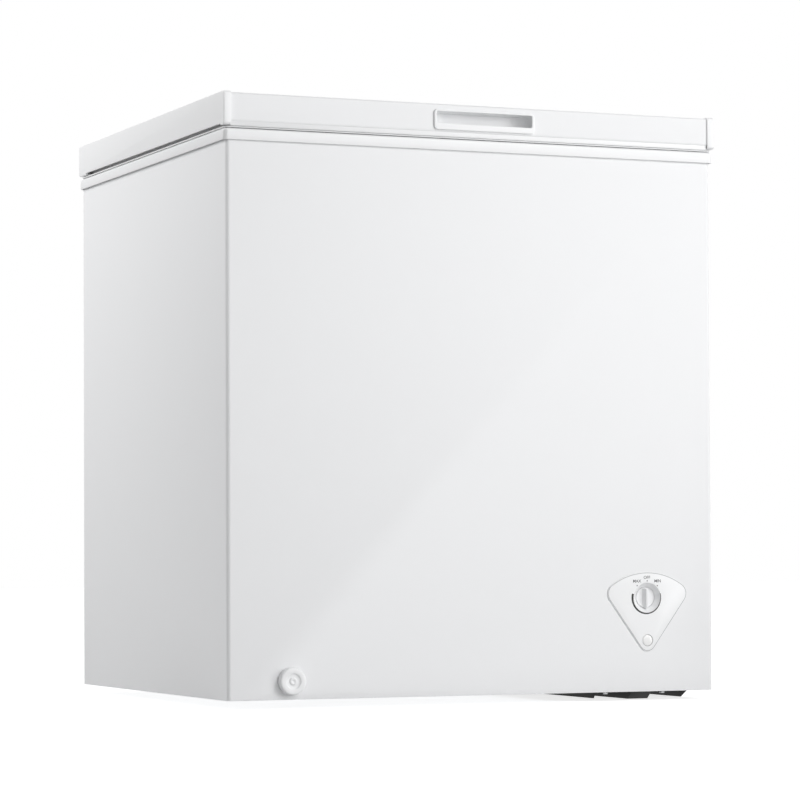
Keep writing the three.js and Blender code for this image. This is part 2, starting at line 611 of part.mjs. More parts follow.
/** Collar: gasket land, basket ledge, outer skirt over the shell and a lip down inside the liner. */
function topRim() {
  const side = SIDE + RIM_OVERHANG_SIDE;
  const front = -RIM_OVERHANG_FRONT;
  const back = DEPTH + RIM_OVERHANG_FRONT;
  const corner = CORNER + RIM_OVERHANG_FRONT;
  const outline = roundedRectangle(-side, side, front, back, corner);
  const rounded = new THREE.ExtrudeGeometry(outline, {
    depth: RIM_HEIGHT,
    bevelSize: RIM_EDGE,
    bevelOffset: -RIM_EDGE,
    bevelThickness: RIM_EDGE,
    bevelSegments: 3,
    curveSegments: 4,
  });
  rounded.translate(0, 0, RIM_BOTTOM - RIM_EDGE);
  let rim = solid(rounded).intersect(box(-side - 1, side + 1, front - 1, back + 1, RIM_BOTTOM, RIM_TOP));
  const lipOut = roundedRectangle(
    -LINER_SIDE + GAP, LINER_SIDE - GAP, LINER_FRONT + GAP, LINER_BACK - GAP, LINER_CORNER - GAP,
  );
  rim = rim.add(prismZ(lipOut, LEDGE - RIM_LIP_DEPTH, RIM_BOTTOM + 1, 3));
  const mouth = LINER_CORNER - GAP - RIM_LIP;
  const opening = roundedRectangle(-RIM_MOUTH_SIDE, RIM_MOUTH_SIDE, RIM_MOUTH_FRONT, RIM_MOUTH_BACK, mouth);
  rim = rim.subtract(prismZ(opening, LEDGE - RIM_LIP_DEPTH - 1, RIM_TOP + 1, 3));
  const aroundMouth = (width) => roundedRectangle(
    -RIM_MOUTH_SIDE - width, RIM_MOUTH_SIDE + width,
    RIM_MOUTH_FRONT - width, RIM_MOUTH_BACK + width, mouth + width,
  );
  const ledge = aroundMouth(RIM_LEDGE_WIDTH);
  rim = rim.subtract(prismZ(ledge, LEDGE, RIM_TOP + 1, 3));
  const skirt = roundedRectangle(-SIDE - GAP, SIDE + GAP, -GAP, DEPTH + GAP, CORNER + GAP);
  const underLedge = prismZ(skirt, RIM_BOTTOM - 1, LEDGE - RIM_WALL).subtract(prismZ(lipOut, 0, HEIGHT, 3));
  const ledgeOut = aroundMouth(RIM_LEDGE_WIDTH + RIM_WALL);
  const underLand = prismZ(skirt, RIM_BOTTOM - 1, RIM_TOP - RIM_WALL).subtract(prismZ(ledgeOut, 0, HEIGHT, 3));
  return rim.subtract(underLedge).subtract(underLand);
}

/** The drain's pipe, from the tub's floor to the cabinet's front, with a collar at its mouth. */
function drainSpout() {
  const past = 5;
  const bore = [
    [DRAIN_X, DRAIN_DEPTH, LINER_FLOOR + past], drainRoute[1], [DRAIN_X, -DRAIN_CAP_PROUD, DRAIN_HEIGHT],
  ];
  const collar = bar(
    [DRAIN_X, -GAP - DRAIN_COLLAR, DRAIN_HEIGHT], [DRAIN_X, -GAP, DRAIN_HEIGHT],
    DRAIN_PIPE_RADIUS + DRAIN_COLLAR_WIDTH, 20,
  );
  return pipe(drainRoute, DRAIN_PIPE_RADIUS, PIPE_SIDES).add(collar)
    .subtract(pipe(bore, DRAIN_BORE_RADIUS, PIPE_SIDES));
}

function drainCap() {
  const along = (y0, y1, radius, sides) => (
    bar([DRAIN_X, y0, DRAIN_HEIGHT], [DRAIN_X, y1, DRAIN_HEIGHT], radius, sides)
  );
  const hollow = along(-DRAIN_CAP_HOLLOW, 1, DRAIN_PIPE_RADIUS + DRAIN_COLLAR_WIDTH + 1, 20);
  return along(-DRAIN_CAP_PROUD, -2 * GAP, DRAIN_CAP_RADIUS, 28).subtract(hollow)
    .add(along(-DRAIN_CAP_HOLLOW - 1, STOPPER_LENGTH, DRAIN_BORE_RADIUS - STOPPER_PLAY, 12));
}

function drainPlug() {
  const along = (z0, z1, radius, sides) => (
    bar([DRAIN_X, DRAIN_DEPTH, z0], [DRAIN_X, DRAIN_DEPTH, z1], radius, sides)
  );
  const head = along(LINER_FLOOR + GAP, LINER_FLOOR + PLUG_HEAD, PLUG_HEAD_RADIUS, 20);
  return head.add(along(
    LINER_FLOOR - STOPPER_LENGTH, LINER_FLOOR + GAP + 1, DRAIN_BORE_RADIUS - STOPPER_PLAY, 12,
  ));
}

piece('cabinet_shell', cabinetShell(), WHITE_STEEL);
piece('bottom_pan', bottomPan(), ZINC);
piece('cabinet_foam', cabinetFoam(), FOAM);
piece('inner_liner', innerLiner(), LINER_METAL);
piece('top_rim', topRim(), WHITE_PLASTIC);
piece('drain_spout', drainSpout(), WHITE_PLASTIC);
piece('drain_cap', drainCap(), WHITE_PLASTIC);
piece('liner_drain_plug', drainPlug(), WHITE_PLASTIC);
piece('condenser_coil', pipe(condenserRoute, TUBE_RADIUS), COPPER);
piece('evaporator_coil', pipe(evaporatorRoute, EVAPORATOR_RADIUS), COPPER);
for (const [name, y] of [['foot_front_left', FOOT_FRONT], ['foot_rear_left', DEPTH - FOOT_BACK]]) {
  piece(name, bar([FOOT_X, y, 0], [FOOT_X, y, FLOOR_GAP - GAP], FOOT_RADIUS, 24), WHITE_PLASTIC);
}

// ---------------------------------------------------------------- compressor compartment

/** A flange hanging from the plate, with a front end that slopes forward as it rises. */
function runner(x0, x1, front, slope) {
  const shape = new THREE.Shape();
  shape.moveTo(front, 0);
  shape.lineTo(DEPTH - PLATE_BACK, 0);
  shape.lineTo(DEPTH - PLATE_BACK, PLATE_TOP);
  shape.lineTo(front - slope, PLATE_TOP);
  shape.closePath();
  return prismX(shape, x0, x1);
}

function compressorPlate() {
  const sheet = PLATE_SHEET;
  const left = SKID_X - SKID_WIDTH / 2;
  const right = SKID_X + SKID_WIDTH / 2;
  let plate = box(PLATE_LEFT, PLATE_RIGHT, PLATE_FRONT, DEPTH - PLATE_BACK, PLATE_BOTTOM, PLATE_TOP);
  const flange = SKID_X - LEFT_RUNNER;
  plate = plate.add(runner(flange, flange + sheet, LEFT_RUNNER_FRONT, LEFT_RUNNER_SLOPE));
  plate = plate.add(runner(PLATE_RIGHT - sheet, PLATE_RIGHT, RIGHT_RUNNER_FRONT, RIGHT_RUNNER_SLOPE));
  plate = plate.add(runner(left, right, SKID_FRONT, SKID_SLOPE));
  const hollow = box(left + sheet, right - sheet, SKID_FRONT + sheet, DEPTH, sheet, PLATE_TOP + 1);
  return plate.subtract(hollow);
}

/** Welded steel can with a domed top and bottom. */
function compressorCan() {
  const r = COMPRESSOR_RADIUS;
  const h = COMPRESSOR_HEIGHT;
  const z = COMPRESSOR_BOTTOM;
  const profile = [
    [0, z], [0.5 * r, z], [0.86 * r, z + 0.04 * h], [0.97 * r, z + 0.14 * h],
    [0.97 * r, z + 0.45 * h], [r, z + 0.46 * h], [r, z + 0.51 * h], [0.97 * r, z + 0.52 * h],
    [0.97 * r, z + 0.78 * h], [0.8 * r, z + 0.91 * h], [0.45 * r, z + h - 3], [0, z + h],
  ];
  return turnedZ(COMPRESSOR_X, COMPRESSOR_Y, profile, 24);
}

function coverPanel() {
  let cover = box(COVER_X0, COVER_X1, DEPTH + GAP, DEPTH + GAP + SHEET, COVER_Z0, COVER_Z1);
  const middle = (COVER_X0 + COVER_X1) / 2;
  for (let i = 0; i < LOUVRES; i += 1) {
    const z = COVER_Z0 + LOUVRE_FIRST + i * LOUVRE_PITCH;
    cover = cover.subtract(box(
      middle - LOUVRE_HALF, middle + LOUVRE_HALF, DEPTH, DEPTH + GAP + SHEET + 1, z, z + LOUVRE_SLOT,
    ));
  }
  return cover.subtract(bar([GLAND_X, DEPTH, GLAND_Z], [GLAND_X, DEPTH + 5, GLAND_Z], GLAND_RADIUS + GAP));
}

piece('compressor_base_plate', compressorPlate(), BLACK_STEEL);
for (const [side, x] of [['left', SKID_X - PLATE_SCREW_LEFT], ['right', SKID_X + PLATE_SCREW_RIGHT]]) {
  const top = PLATE_BOTTOM - GAP;
  const y = PLATE_SCREW_FRONT;
  piece(`base_plate_screw_${side}`, bar([x, y, top - HEX_HEAD], [x, y, top], SCREW_RADIUS, 6), ZINC);
}
const corners = [[-1, -1, 'front_left'], [1, -1, 'front_right'], [-1, 1, 'rear_left'], [1, 1, 'rear_right']];
for (const [sx, sy, where] of corners) {
  const x = COMPRESSOR_X + sx * BRACKET_X;
  const y = COMPRESSOR_Y + sy * BRACKET_Y;
  const low = PLATE_TOP + GAP;
  piece(`grommet_${where}`, bar([x, y, low], [x, y, low + GROMMET_HEIGHT], GROMMET_RADIUS, 12), RUBBER);
}
const bracketHalf = BRACKET_X + BRACKET_EDGE;
const bracketReach = BRACKET_Y + BRACKET_EDGE;
const bracketOutline = roundedRectangle(
  COMPRESSOR_X - bracketHalf, COMPRESSOR_X + bracketHalf,
  COMPRESSOR_Y - bracketReach, COMPRESSOR_Y + bracketReach, BRACKET_CORNER,
);
piece('compressor_bracket', prismZ(bracketOutline, BRACKET_BOTTOM, BRACKET_TOP), BLACK_STEEL);
piece('compressor_housing', compressorCan(), BLACK_STEEL);

const terminalY = COMPRESSOR_Y - COMPRESSOR_RADIUS - GAP;
piece(
  'compressor_terminal_cover',
  box(
    COMPRESSOR_X - TERMINALS_WIDTH / 2, COMPRESSOR_X + TERMINALS_WIDTH / 2,
    terminalY - TERMINALS_DEPTH, terminalY,
    COMPRESSOR_BOTTOM + TERMINALS_LOW, COMPRESSOR_BOTTOM + TERMINALS_HIGH,
  ),
  BLACK_PLASTIC,
);

const dischargeX = COMPRESSOR_X + 0.97 * COMPRESSOR_RADIUS + GAP;
piece('discharge_tube', pipe([
  [dischargeX, COMPRESSOR_Y, PORT_HEIGHT],
  [CONDENSER_SIDE, COMPRESSOR_Y, PORT_HEIGHT],
  [CONDENSER_SIDE, CONDENSER_Y, PORT_HEIGHT],
  [CONDENSER_SIDE, CONDENSER_Y, TAIL_BOTTOM - GAP],
], TUBE_RADIUS), COPPER);

const suctionY = COMPRESSOR_Y + 0.97 * COMPRESSOR_RADIUS + GAP;
piece('suction_tube', pipe([
  [COMPRESSOR_X, EVAPORATOR_BACK, TAIL_BOTTOM - GAP],
  [COMPRESSOR_X, EVAPORATOR_BACK, PORT_HEIGHT],
  [COMPRESSOR_X, suctionY, PORT_HEIGHT],
], TUBE_RADIUS), COPPER);

const DRIER_Y = DEPTH - DRIER_INSET;
const DRIER_TOP = TAIL_BOTTOM - DRIER_DROP;
const DRIER_BOTTOM = DRIER_TOP - DRIER_LENGTH;
const drierInlet = pipe([
  [CONDENSER_RETURN_X, CONDENSER_BACK, TAIL_BOTTOM - GAP],
  [CONDENSER_RETURN_X, CONDENSER_BACK, TAIL_BOTTOM - DRIER_BEND],
  [CONDENSER_RETURN_X, DRIER_Y, TAIL_BOTTOM - DRIER_BEND],
  [CONDENSER_RETURN_X, DRIER_Y, DRIER_TOP - 5],
], TUBE_RADIUS);
const drierBody = turnedZ(CONDENSER_RETURN_X, DRIER_Y, [
  [0, DRIER_BOTTOM], [TUBE_RADIUS, DRIER_BOTTOM], [DRIER_RADIUS, DRIER_BOTTOM + DRIER_CONE],
  [DRIER_RADIUS, DRIER_TOP - DRIER_CONE], [TUBE_RADIUS + 1, DRIER_TOP], [0, DRIER_TOP],
], 12);
piece('filter_drier', drierBody.add(drierInlet), COPPER);

const CAPILLARY_Z = PLATE_TOP + CAPILLARY_RISE;
piece('capillary_tube', pipe([
  [CONDENSER_RETURN_X, DRIER_Y, DRIER_BOTTOM - GAP],
  [CONDENSER_RETURN_X, DRIER_Y, CAPILLARY_Z],
  [CONDENSER_RETURN_X, EVAPORATOR_Y, CAPILLARY_Z],
  [EVAPORATOR_SIDE, EVAPORATOR_Y, CAPILLARY_Z],
  [EVAPORATOR_SIDE, EVAPORATOR_Y, TAIL_BOTTOM - GAP],
], CAPILLARY_RADIUS), COPPER);

piece('compressor_cover', coverPanel(), ZINC);
for (const [level, z] of [['lower', COVER_Z0 + COVER_SCREW_EDGE], ['upper', COVER_Z1 - COVER_SCREW_EDGE]]) {
  for (const [side, x] of [['left', COVER_X0 + COVER_SCREW_EDGE], ['right', COVER_X1 - COVER_SCREW_EDGE]]) {
    screwY(`cover_screw_${level}_${side}`, x, DEPTH + GAP + SHEET, z);
  }
}

/** A round of the cord gland, between two distances behind the cabinet's back. */
const glandPart = (y0, y1, radius, sides) => (
  bar([GLAND_X, DEPTH + y0, GLAND_Z], [GLAND_X, DEPTH + y1, GLAND_Z], radius, sides)
);
const glandStem = glandPart(-8, 6, GLAND_RADIUS, 16);
const glandFlange = glandPart(2 * GAP + SHEET, 12, GLAND_FLANGE_RADIUS, 16);
const glandBore = glandPart(-9, 13, GLAND_BORE_RADIUS, 12);
piece('cord_gland', glandStem.add(glandFlange).subtract(glandBore), BLACK_PLASTIC);

// ---------------------------------------------------------------- thermostat panel

/** A rounded triangle, point down, whose top edge is one wide arc. */
function panelOutline() {
  const half = PANEL_WIDTH / 2;
  const rTop = PANEL_TOP_RADIUS;
  const rCorner = PANEL_CORNER_RADIUS;
  const rFoot = PANEL_FOOT_RADIUS;
  const topZ = PANEL_TOP - rTop;
  const cornerX = half - rCorner;
  const cornerZ = topZ + Math.sqrt((rTop - rCorner) ** 2 - cornerX ** 2);
  const footZ = PANEL_BOTTOM + rFoot;
  const arcEdge = Math.atan2(cornerZ - topZ, cornerX);
  const run = Math.hypot(cornerX, cornerZ - footZ);
  const lean = Math.atan2(cornerZ - footZ, cornerX) - Math.PI / 2 - Math.asin((rFoot - rCorner) / run);
  const shape = new THREE.Shape();
  shape.absarc(PANEL_X, footZ, rFoot, Math.PI - lean, 2 * Math.PI + lean, false);
  shape.absarc(PANEL_X + cornerX, cornerZ, rCorner, lean, arcEdge, false);
  shape.absarc(PANEL_X, topZ, rTop, arcEdge, Math.PI - arcEdge, false);
  shape.absarc(PANEL_X - cornerX, cornerZ, rCorner, Math.PI - arcEdge, Math.PI - lean, false);
  shape.closePath();
  return shape;
}

function turnedCup(profile, sides = 28) {
  const geometry = new THREE.LatheGeometry(profile.map(([r, y]) => new THREE.Vector2(r, y)), sides);
  geometry.translate(PANEL_X, 0, DIAL_HEIGHT);
  return solid(geometry);
}

function controlPanel() {
  const face = prismY(panelOutline(), PANEL_FRONT, PANEL_BACK, 8);
  const cupFront = PANEL_FRONT + PANEL_THICKNESS / 2;
  const cup = bar([PANEL_X, cupFront, DIAL_HEIGHT], [PANEL_X, CUP_BACK, DIAL_HEIGHT], CUP_RADIUS, CUP_SIDES);
  const well = turnedCup([
    [0, PANEL_FRONT - 1], [DIAL_MOUTH_RADIUS, PANEL_FRONT - 1], [DIAL_MOUTH_RADIUS, PANEL_FRONT],
    [KNOB_WELL_RADIUS, KNOB_FRONT], [KNOB_WELL_RADIUS, KNOB_BACK + GAP], [0, KNOB_BACK + GAP],
  ]);
  const hole = bar([PANEL_X, 0, DIAL_HEIGHT], [PANEL_X, CUP_BACK + 1, DIAL_HEIGHT], SPINDLE_RADIUS + GAP);
  const lens = bar([PANEL_X, -5, LENS_HEIGHT], [PANEL_X, 5, LENS_HEIGHT], LENS_RADIUS + GAP);
  return face.add(cup).subtract(well).subtract(hole).subtract(lens);
}

/** Disc with a grip across it, whose lower end is the pointer. */
function controlKnob() {
  const disc = bar([PANEL_X, KNOB_FRONT, DIAL_HEIGHT], [PANEL_X, KNOB_BACK, DIAL_HEIGHT], KNOB_RADIUS, 28);
  const reach = KNOB_RADIUS - 1;
  const grip = roundedRectangle(
    PANEL_X - KNOB_GRIP_HALF, PANEL_X + KNOB_GRIP_HALF, DIAL_HEIGHT - reach, DIAL_HEIGHT + reach,
    0.8 * KNOB_GRIP_HALF,
  );
  const pointer = box(
    PANEL_X - KNOB_POINTER_HALF, PANEL_X + KNOB_POINTER_HALF,
    KNOB_FRONT - KNOB_POINTER_HIGH, KNOB_FRONT - KNOB_POINTER_LOW,
    DIAL_HEIGHT - KNOB_RADIUS - KNOB_POINTER_PAST, DIAL_HEIGHT,
  );
  const bore = bar(
    [PANEL_X, KNOB_FRONT + 1, DIAL_HEIGHT], [PANEL_X, KNOB_BACK + 1, DIAL_HEIGHT], SPINDLE_RADIUS + GAP,
  );
  return disc.add(prismY(grip, PANEL_FRONT, KNOB_FRONT + 1)).add(pointer).subtract(bore);
}

function thermostatBody() {
  const y0 = CUP_BACK + GAP;
  const half = THERMOSTAT_WIDTH / 2;
  const rise = THERMOSTAT_HEIGHT / 2;
  const block = box(
    PANEL_X - half, PANEL_X + half, y0, y0 + THERMOSTAT_DEPTH, DIAL_HEIGHT - rise, DIAL_HEIGHT + rise,
  );
  const hole = bar(
    [PANEL_X, y0 - 1, DIAL_HEIGHT], [PANEL_X, SPINDLE_END + GAP, DIAL_HEIGHT], SPINDLE_RADIUS + GAP,
  );
  return block.subtract(hole);
}

piece('control_panel', controlPanel(), WHITE_PLASTIC);
piece('control_knob', controlKnob(), KNOB_GREY);
piece(
  'thermostat_spindle',
  bar([PANEL_X, KNOB_FRONT + 1 + GAP, DIAL_HEIGHT], [PANEL_X, SPINDLE_END, DIAL_HEIGHT], SPINDLE_RADIUS),
  ZINC,
);
piece('thermostat_body', thermostatBody(), LINER_METAL);
piece(
  'indicator_lens',
  bar([PANEL_X, PANEL_FRONT - LENS_PROUD, LENS_HEIGHT], [PANEL_X, LENS_BACK, LENS_HEIGHT], LENS_RADIUS, 24),
  LENS_CLEAR,
);
const lampFront = LENS_BACK + GAP;
piece(
  'indicator_lamp',
  bar([PANEL_X, lampFront, LENS_HEIGHT], [PANEL_X, LENS_BACK + LAMP_LENGTH, LENS_HEIGHT], LAMP_RADIUS, 12),
  BLACK_PLASTIC,
);

// ---------------------------------------------------------------- lid

function lidSheet() {
  const half = LID_SIDE - CAP_PLATE - GAP;
  const outer = archRectangle(LID_FRONT, LID_BACK, LID_SHEET_BOTTOM, LID_TOP, LID_EDGE);
  const inner = archRectangle(
    LID_FRONT + SHEET, LID_BACK - SHEET, LID_SHEET_BOTTOM - 1, LID_TOP - SHEET, LID_EDGE - SHEET,
  );
  const sheet = prismX(outer, -half, half).subtract(prismX(inner, -half - 1, half + 1));
  const hole = box(
    HANDLE_X - GRIP_HALF - GRIP_WALL - GAP, HANDLE_X + GRIP_HALF + GRIP_WALL + GAP,
    LID_FRONT - 1, LID_FRONT + SHEET + 1, GRIP_Z0 - GRIP_WALL - GAP, GRIP_Z1 + GRIP_WALL + GAP,
  );
  return sheet.subtract(hole);
}

/** A shallow tray that closes the lid's end; side is -1 for the left and 1 for the right. */
function lidEndCap(side) {
  const front = LID_FRONT - CAP_PROUD_FRONT;
  const back = LID_BACK + LID_OVERHANG_BACK;
  const x0 = LID_SIDE - CAP_WIDTH;
  const outer = prismX(roundedRectangle(front, back, CAP_BOTTOM, HEIGHT, 5), x0, LID_SIDE);
  const cavity = archRectangle(
    LID_FRONT - GAP, LID_BACK + GAP, LID_SHEET_BOTTOM - GAP, LID_TOP + GAP, LID_EDGE,
  );
  const notch = box(x0 - 1, LID_SIDE + 1, front + 14, back - 36, CAP_BOTTOM - 1, CAP_BOTTOM + CAP_NOTCH);
  const cap = outer.subtract(prismX(cavity, x0 - 1, LID_SIDE - CAP_PLATE)).subtract(notch);
  return side > 0 ? cap : cap.mirror([1, 0, 0]);
}

/** A square ring, from one inset to another behind the lid's edge. */
function lidRing(inset0, inset1, z0, z1) {
  const ring = (inset) => roundedRectangle(
    -LID_SIDE + inset, LID_SIDE - inset, LID_FRONT + inset, LID_BACK - inset, 10,
  );
  return prismZ(ring(inset0), z0, z1, 3).subtract(prismZ(ring(inset1), z0 - 1, z1 + 1, 3));
}

function lidInnerPanel() {
  const wall = LID_LINER_WALL;
  const top = LID_LINER_BOTTOM + LID_LINER_SKIRT;
  let panel = box(-LID_LINER_SIDE, LID_LINER_SIDE, LID_LINER_FRONT, LID_LINER_BACK, LID_LINER_BOTTOM, top);
  panel = panel.subtract(box(
    -LID_LINER_SIDE + wall, LID_LINER_SIDE - wall, LID_LINER_FRONT + wall, LID_LINER_BACK - wall,
    LID_LINER_BOTTOM + wall, top + 1,
  ));
  const grooveTop = GASKET_TOP + GAP;
  const groove0 = GASKET_INSET - GAP;
  const groove1 = GASKET_INSET + GASKET_WIDTH + GAP;
  panel = panel.add(lidRing(groove0 - wall, groove1 + wall, LID_LINER_BOTTOM, grooveTop + wall));
  panel = panel.subtract(lidRing(groove0, groove1, LID_LINER_BOTTOM - 1, grooveTop));
  panel = panel.add(box(-PLUG_SIDE, PLUG_SIDE, PLUG_FRONT, PLUG_BACK, PLUG_BOTTOM, LID_LINER_BOTTOM + wall));
  return panel.subtract(box(
    -PLUG_SIDE + wall, PLUG_SIDE - wall, PLUG_FRONT + wall, PLUG_BACK - wall,
    PLUG_BOTTOM + wall, LID_LINER_BOTTOM + wall + 1,
  ));
}

/** Pocket with rounded back corners, and the frame round its mouth. */
function lidHandle() {
  const z0 = LID_SHEET_BOTTOM + HANDLE_BOTTOM;
  const outline = roundedRectangle(
    HANDLE_X - HANDLE_WIDTH / 2, HANDLE_X + HANDLE_WIDTH / 2, z0, z0 + HANDLE_HEIGHT, HANDLE_CORNER,
  );
  const face = prismY(outline, LID_FRONT - HANDLE_PROUD, LID_FRONT - GAP);
  const plan = (grow) => {
    const shape = new THREE.Shape();
    const half = GRIP_HALF + grow;
    const back = GRIP_BACK + grow;
    const corner = GRIP_CORNER + grow;
    shape.moveTo(HANDLE_X - half, LID_FRONT - HANDLE_PROUD - 1 + grow);
    shape.lineTo(HANDLE_X + half, LID_FRONT - HANDLE_PROUD - 1 + grow);
    shape.absarc(HANDLE_X + half - corner, back - corner, corner, 0, Math.PI / 2, false);
    shape.absarc(HANDLE_X - half + corner, back - corner, corner, Math.PI / 2, Math.PI, false);
    shape.closePath();
    return shape;
  };
  const pocket = prismZ(plan(GRIP_WALL), GRIP_Z0 - GRIP_WALL, GRIP_Z1 + GRIP_WALL, 5);
  return face.add(pocket).subtract(prismZ(plan(0), GRIP_Z0, GRIP_Z1, 5));
}

function lidFoam() {
  const wall = LID_LINER_WALL + GAP;
  const bottom = LID_LINER_BOTTOM + wall;
  const top = LID_TOP - SHEET - GAP;
  const side = LID_LINER_SIDE - wall;
  const front = LID_LINER_FRONT + wall;
  const back = LID_LINER_BACK - wall;
  let foam = box(-side, side, front, back, bottom, top);
  const groove0 = GASKET_INSET - GAP - wall;
  const groove1 = GASKET_INSET + GASKET_WIDTH + GAP + wall;
  foam = foam.subtract(lidRing(groove0, groove1, bottom - 1, GASKET_TOP + GAP + wall));
  foam = foam.add(box(
    -PLUG_SIDE + wall, PLUG_SIDE - wall, PLUG_FRONT + wall, PLUG_BACK - wall,
    PLUG_BOTTOM + wall, bottom + 1,
  ));
  return foam.subtract(box(
    HANDLE_X - GRIP_HALF - GRIP_WALL - GAP, HANDLE_X + GRIP_HALF + GRIP_WALL + GAP,
    LID_FRONT, GRIP_BACK + GRIP_WALL + GAP, GRIP_Z0 - GRIP_WALL - GAP, GRIP_Z1 + GRIP_WALL + GAP,
  ));
}

piece('lid_shell', lidSheet(), WHITE_STEEL);
piece('lid_end_cap_left', lidEndCap(-1), WHITE_PLASTIC);
piece('lid_end_cap_right', lidEndCap(1), WHITE_PLASTIC);
piece('lid_handle', lidHandle(), WHITE_PLASTIC);
piece('lid_inner_panel', lidInnerPanel(), WHITE_PLASTIC);
piece('lid_foam', lidFoam(), FOAM);
piece(
  'lid_gasket',
  lidRing(GASKET_INSET, GASKET_INSET + GASKET_WIDTH, GASKET_BOTTOM, GASKET_TOP),
  GASKET_GREY,
);

// ---------------------------------------------------------------- hinges

/** Bracket on the cabinet's back with two ears that carry the pin. */
function hingeBase(x) {
  const half = HINGE_WIDTH / 2;
  const front = DEPTH + GAP;
  const top = RIM_BOTTOM - GAP;
  const plate = box(x - half, x + half, front, front + HINGE_SHEET, RIM_BOTTOM - HINGE_PLATE_DROP, top);
  const housing = box(x - half, x + half, front, BACK_MOST, RIM_BOTTOM - HINGE_BOX_DROP, top);
  let base = plate.add(housing);
  for (const side of [-1, 1]) {
    const x0 = side < 0 ? x - half : x + half - HINGE_EAR;
    const ear = box(x0, x0 + HINGE_EAR, HINGE_Y - HINGE_EAR_RADIUS, BACK_MOST, RIM_BOTTOM - 10, HINGE_Z);
    const eye = bar([x0, HINGE_Y, HINGE_Z], [x0 + HINGE_EAR, HINGE_Y, HINGE_Z], HINGE_EAR_RADIUS);
    base = base.add(ear).add(eye);
  }
  const hole = bar([x - half - 1, HINGE_Y, HINGE_Z], [x + half + 1, HINGE_Y, HINGE_Z], HINGE_PIN_RADIUS + GAP);
  return base.subtract(hole);
}

/** Knuckle on the pin, with the plate that is screwed to the lid's back. */
function hingeArm(x) {
  const half = HINGE_WIDTH / 2 - HINGE_EAR - GAP;
  const x0 = x - half + SPRING_LENGTH + GAP;
  const x1 = x + half;
  const knuckle = bar([x0, HINGE_Y, HINGE_Z], [x1, HINGE_Y, HINGE_Z], HINGE_EAR_RADIUS - 1);
  const plateFront = LID_BACK + GAP;
  const link = box(x0, x1, plateFront, HINGE_Y, HINGE_Z + 3, HINGE_Z + 7);
  const plate = box(x0, x1, plateFront, plateFront + HINGE_SHEET, HINGE_Z + 3, LID_TOP - LID_EDGE);
  const hole = bar([x - half - 1, HINGE_Y, HINGE_Z], [x1 + 1, HINGE_Y, HINGE_Z], HINGE_PIN_RADIUS + GAP);
  return knuckle.add(link).add(plate).subtract(hole);
}

for (const [name, x] of [['left', -HINGE_X], ['right', HINGE_X]]) {
  const half = HINGE_WIDTH / 2;
  const alongPin = (x0, x1, radius) => bar([x0, HINGE_Y, HINGE_Z], [x1, HINGE_Y, HINGE_Z], radius);
  const springX = x - half + HINGE_EAR + GAP;
  const springEnd = springX + SPRING_LENGTH;
  const bore = alongPin(springX - 1, springEnd + 1, HINGE_PIN_RADIUS + GAP);
  piece(`hinge_base_${name}`, hingeBase(x), ZINC);
  piece(`hinge_pin_${name}`, alongPin(x - half, x + half, HINGE_PIN_RADIUS), ZINC);
  piece(
    `hinge_spring_${name}`,
    alongPin(springX, springEnd, HINGE_PIN_RADIUS + SPRING_COVER).subtract(bore),
    ZINC,
  );
  piece(`hinge_arm_${name}`, hingeArm(x), ZINC);
  for (const [level, drop] of Object.entries(HINGE_SCREW_DROPS)) {
    screwY(`hinge_screw_${name}_${level}`, x, DEPTH + GAP + HINGE_SHEET, RIM_BOTTOM - drop);
  }
}

// ---------------------------------------------------------------- basket

/** An open tray hung on the collar's ledge by a wire loop at each end. */
function wireBasket() {
  const half = BASKET_WIDTH / 2;
  const front = RIM_MOUTH_FRONT + BASKET_END_CLEARANCE;
  const back = RIM_MOUTH_BACK - BASKET_END_CLEARANCE;
  const top = PLUG_BOTTOM - BASKET_TOP_DROP;
  const bottom = top - BASKET_HEIGHT;
  const outer = roundedRectangle(BASKET_X - half, BASKET_X + half, front, back, BASKET_CORNER);
  const wall = BASKET_WALL;
  const inner = roundedRectangle(
    BASKET_X - half + wall, BASKET_X + half - wall, front + wall, back - wall, BASKET_CORNER - wall,
  );
  let basket = prismZ(outer, bottom, top, 3).subtract(prismZ(inner, bottom + wall, top + 1, 3));
  const wire = BASKET_WIRE;
  const hookBottom = LEDGE + GAP;
  const hooks = [[front, RIM_MOUTH_FRONT - HOOK_REACH], [back - wire, RIM_MOUTH_BACK + HOOK_REACH - wire]];
  for (const [postY, hookY] of hooks) {
    for (const x of [BASKET_X - HOOK_HALF, BASKET_X + HOOK_HALF - wire]) {
      basket = basket.add(box(x, x + wire, postY, postY + wire, top - HOOK_LAP, hookBottom + wire));
      const y0 = Math.min(postY, hookY);
      const y1 = Math.max(postY, hookY) + wire;
      basket = basket.add(box(x, x + wire, y0, y1, hookBottom, hookBottom + wire));
    }
    basket = basket.add(box(
      BASKET_X - HOOK_HALF, BASKET_X + HOOK_HALF, hookY, hookY + wire, hookBottom, hookBottom + wire,
    ));
  }
  return basket;
}

piece('wire_basket', wireBasket(), BASKET_WHITE);

export default freezer;
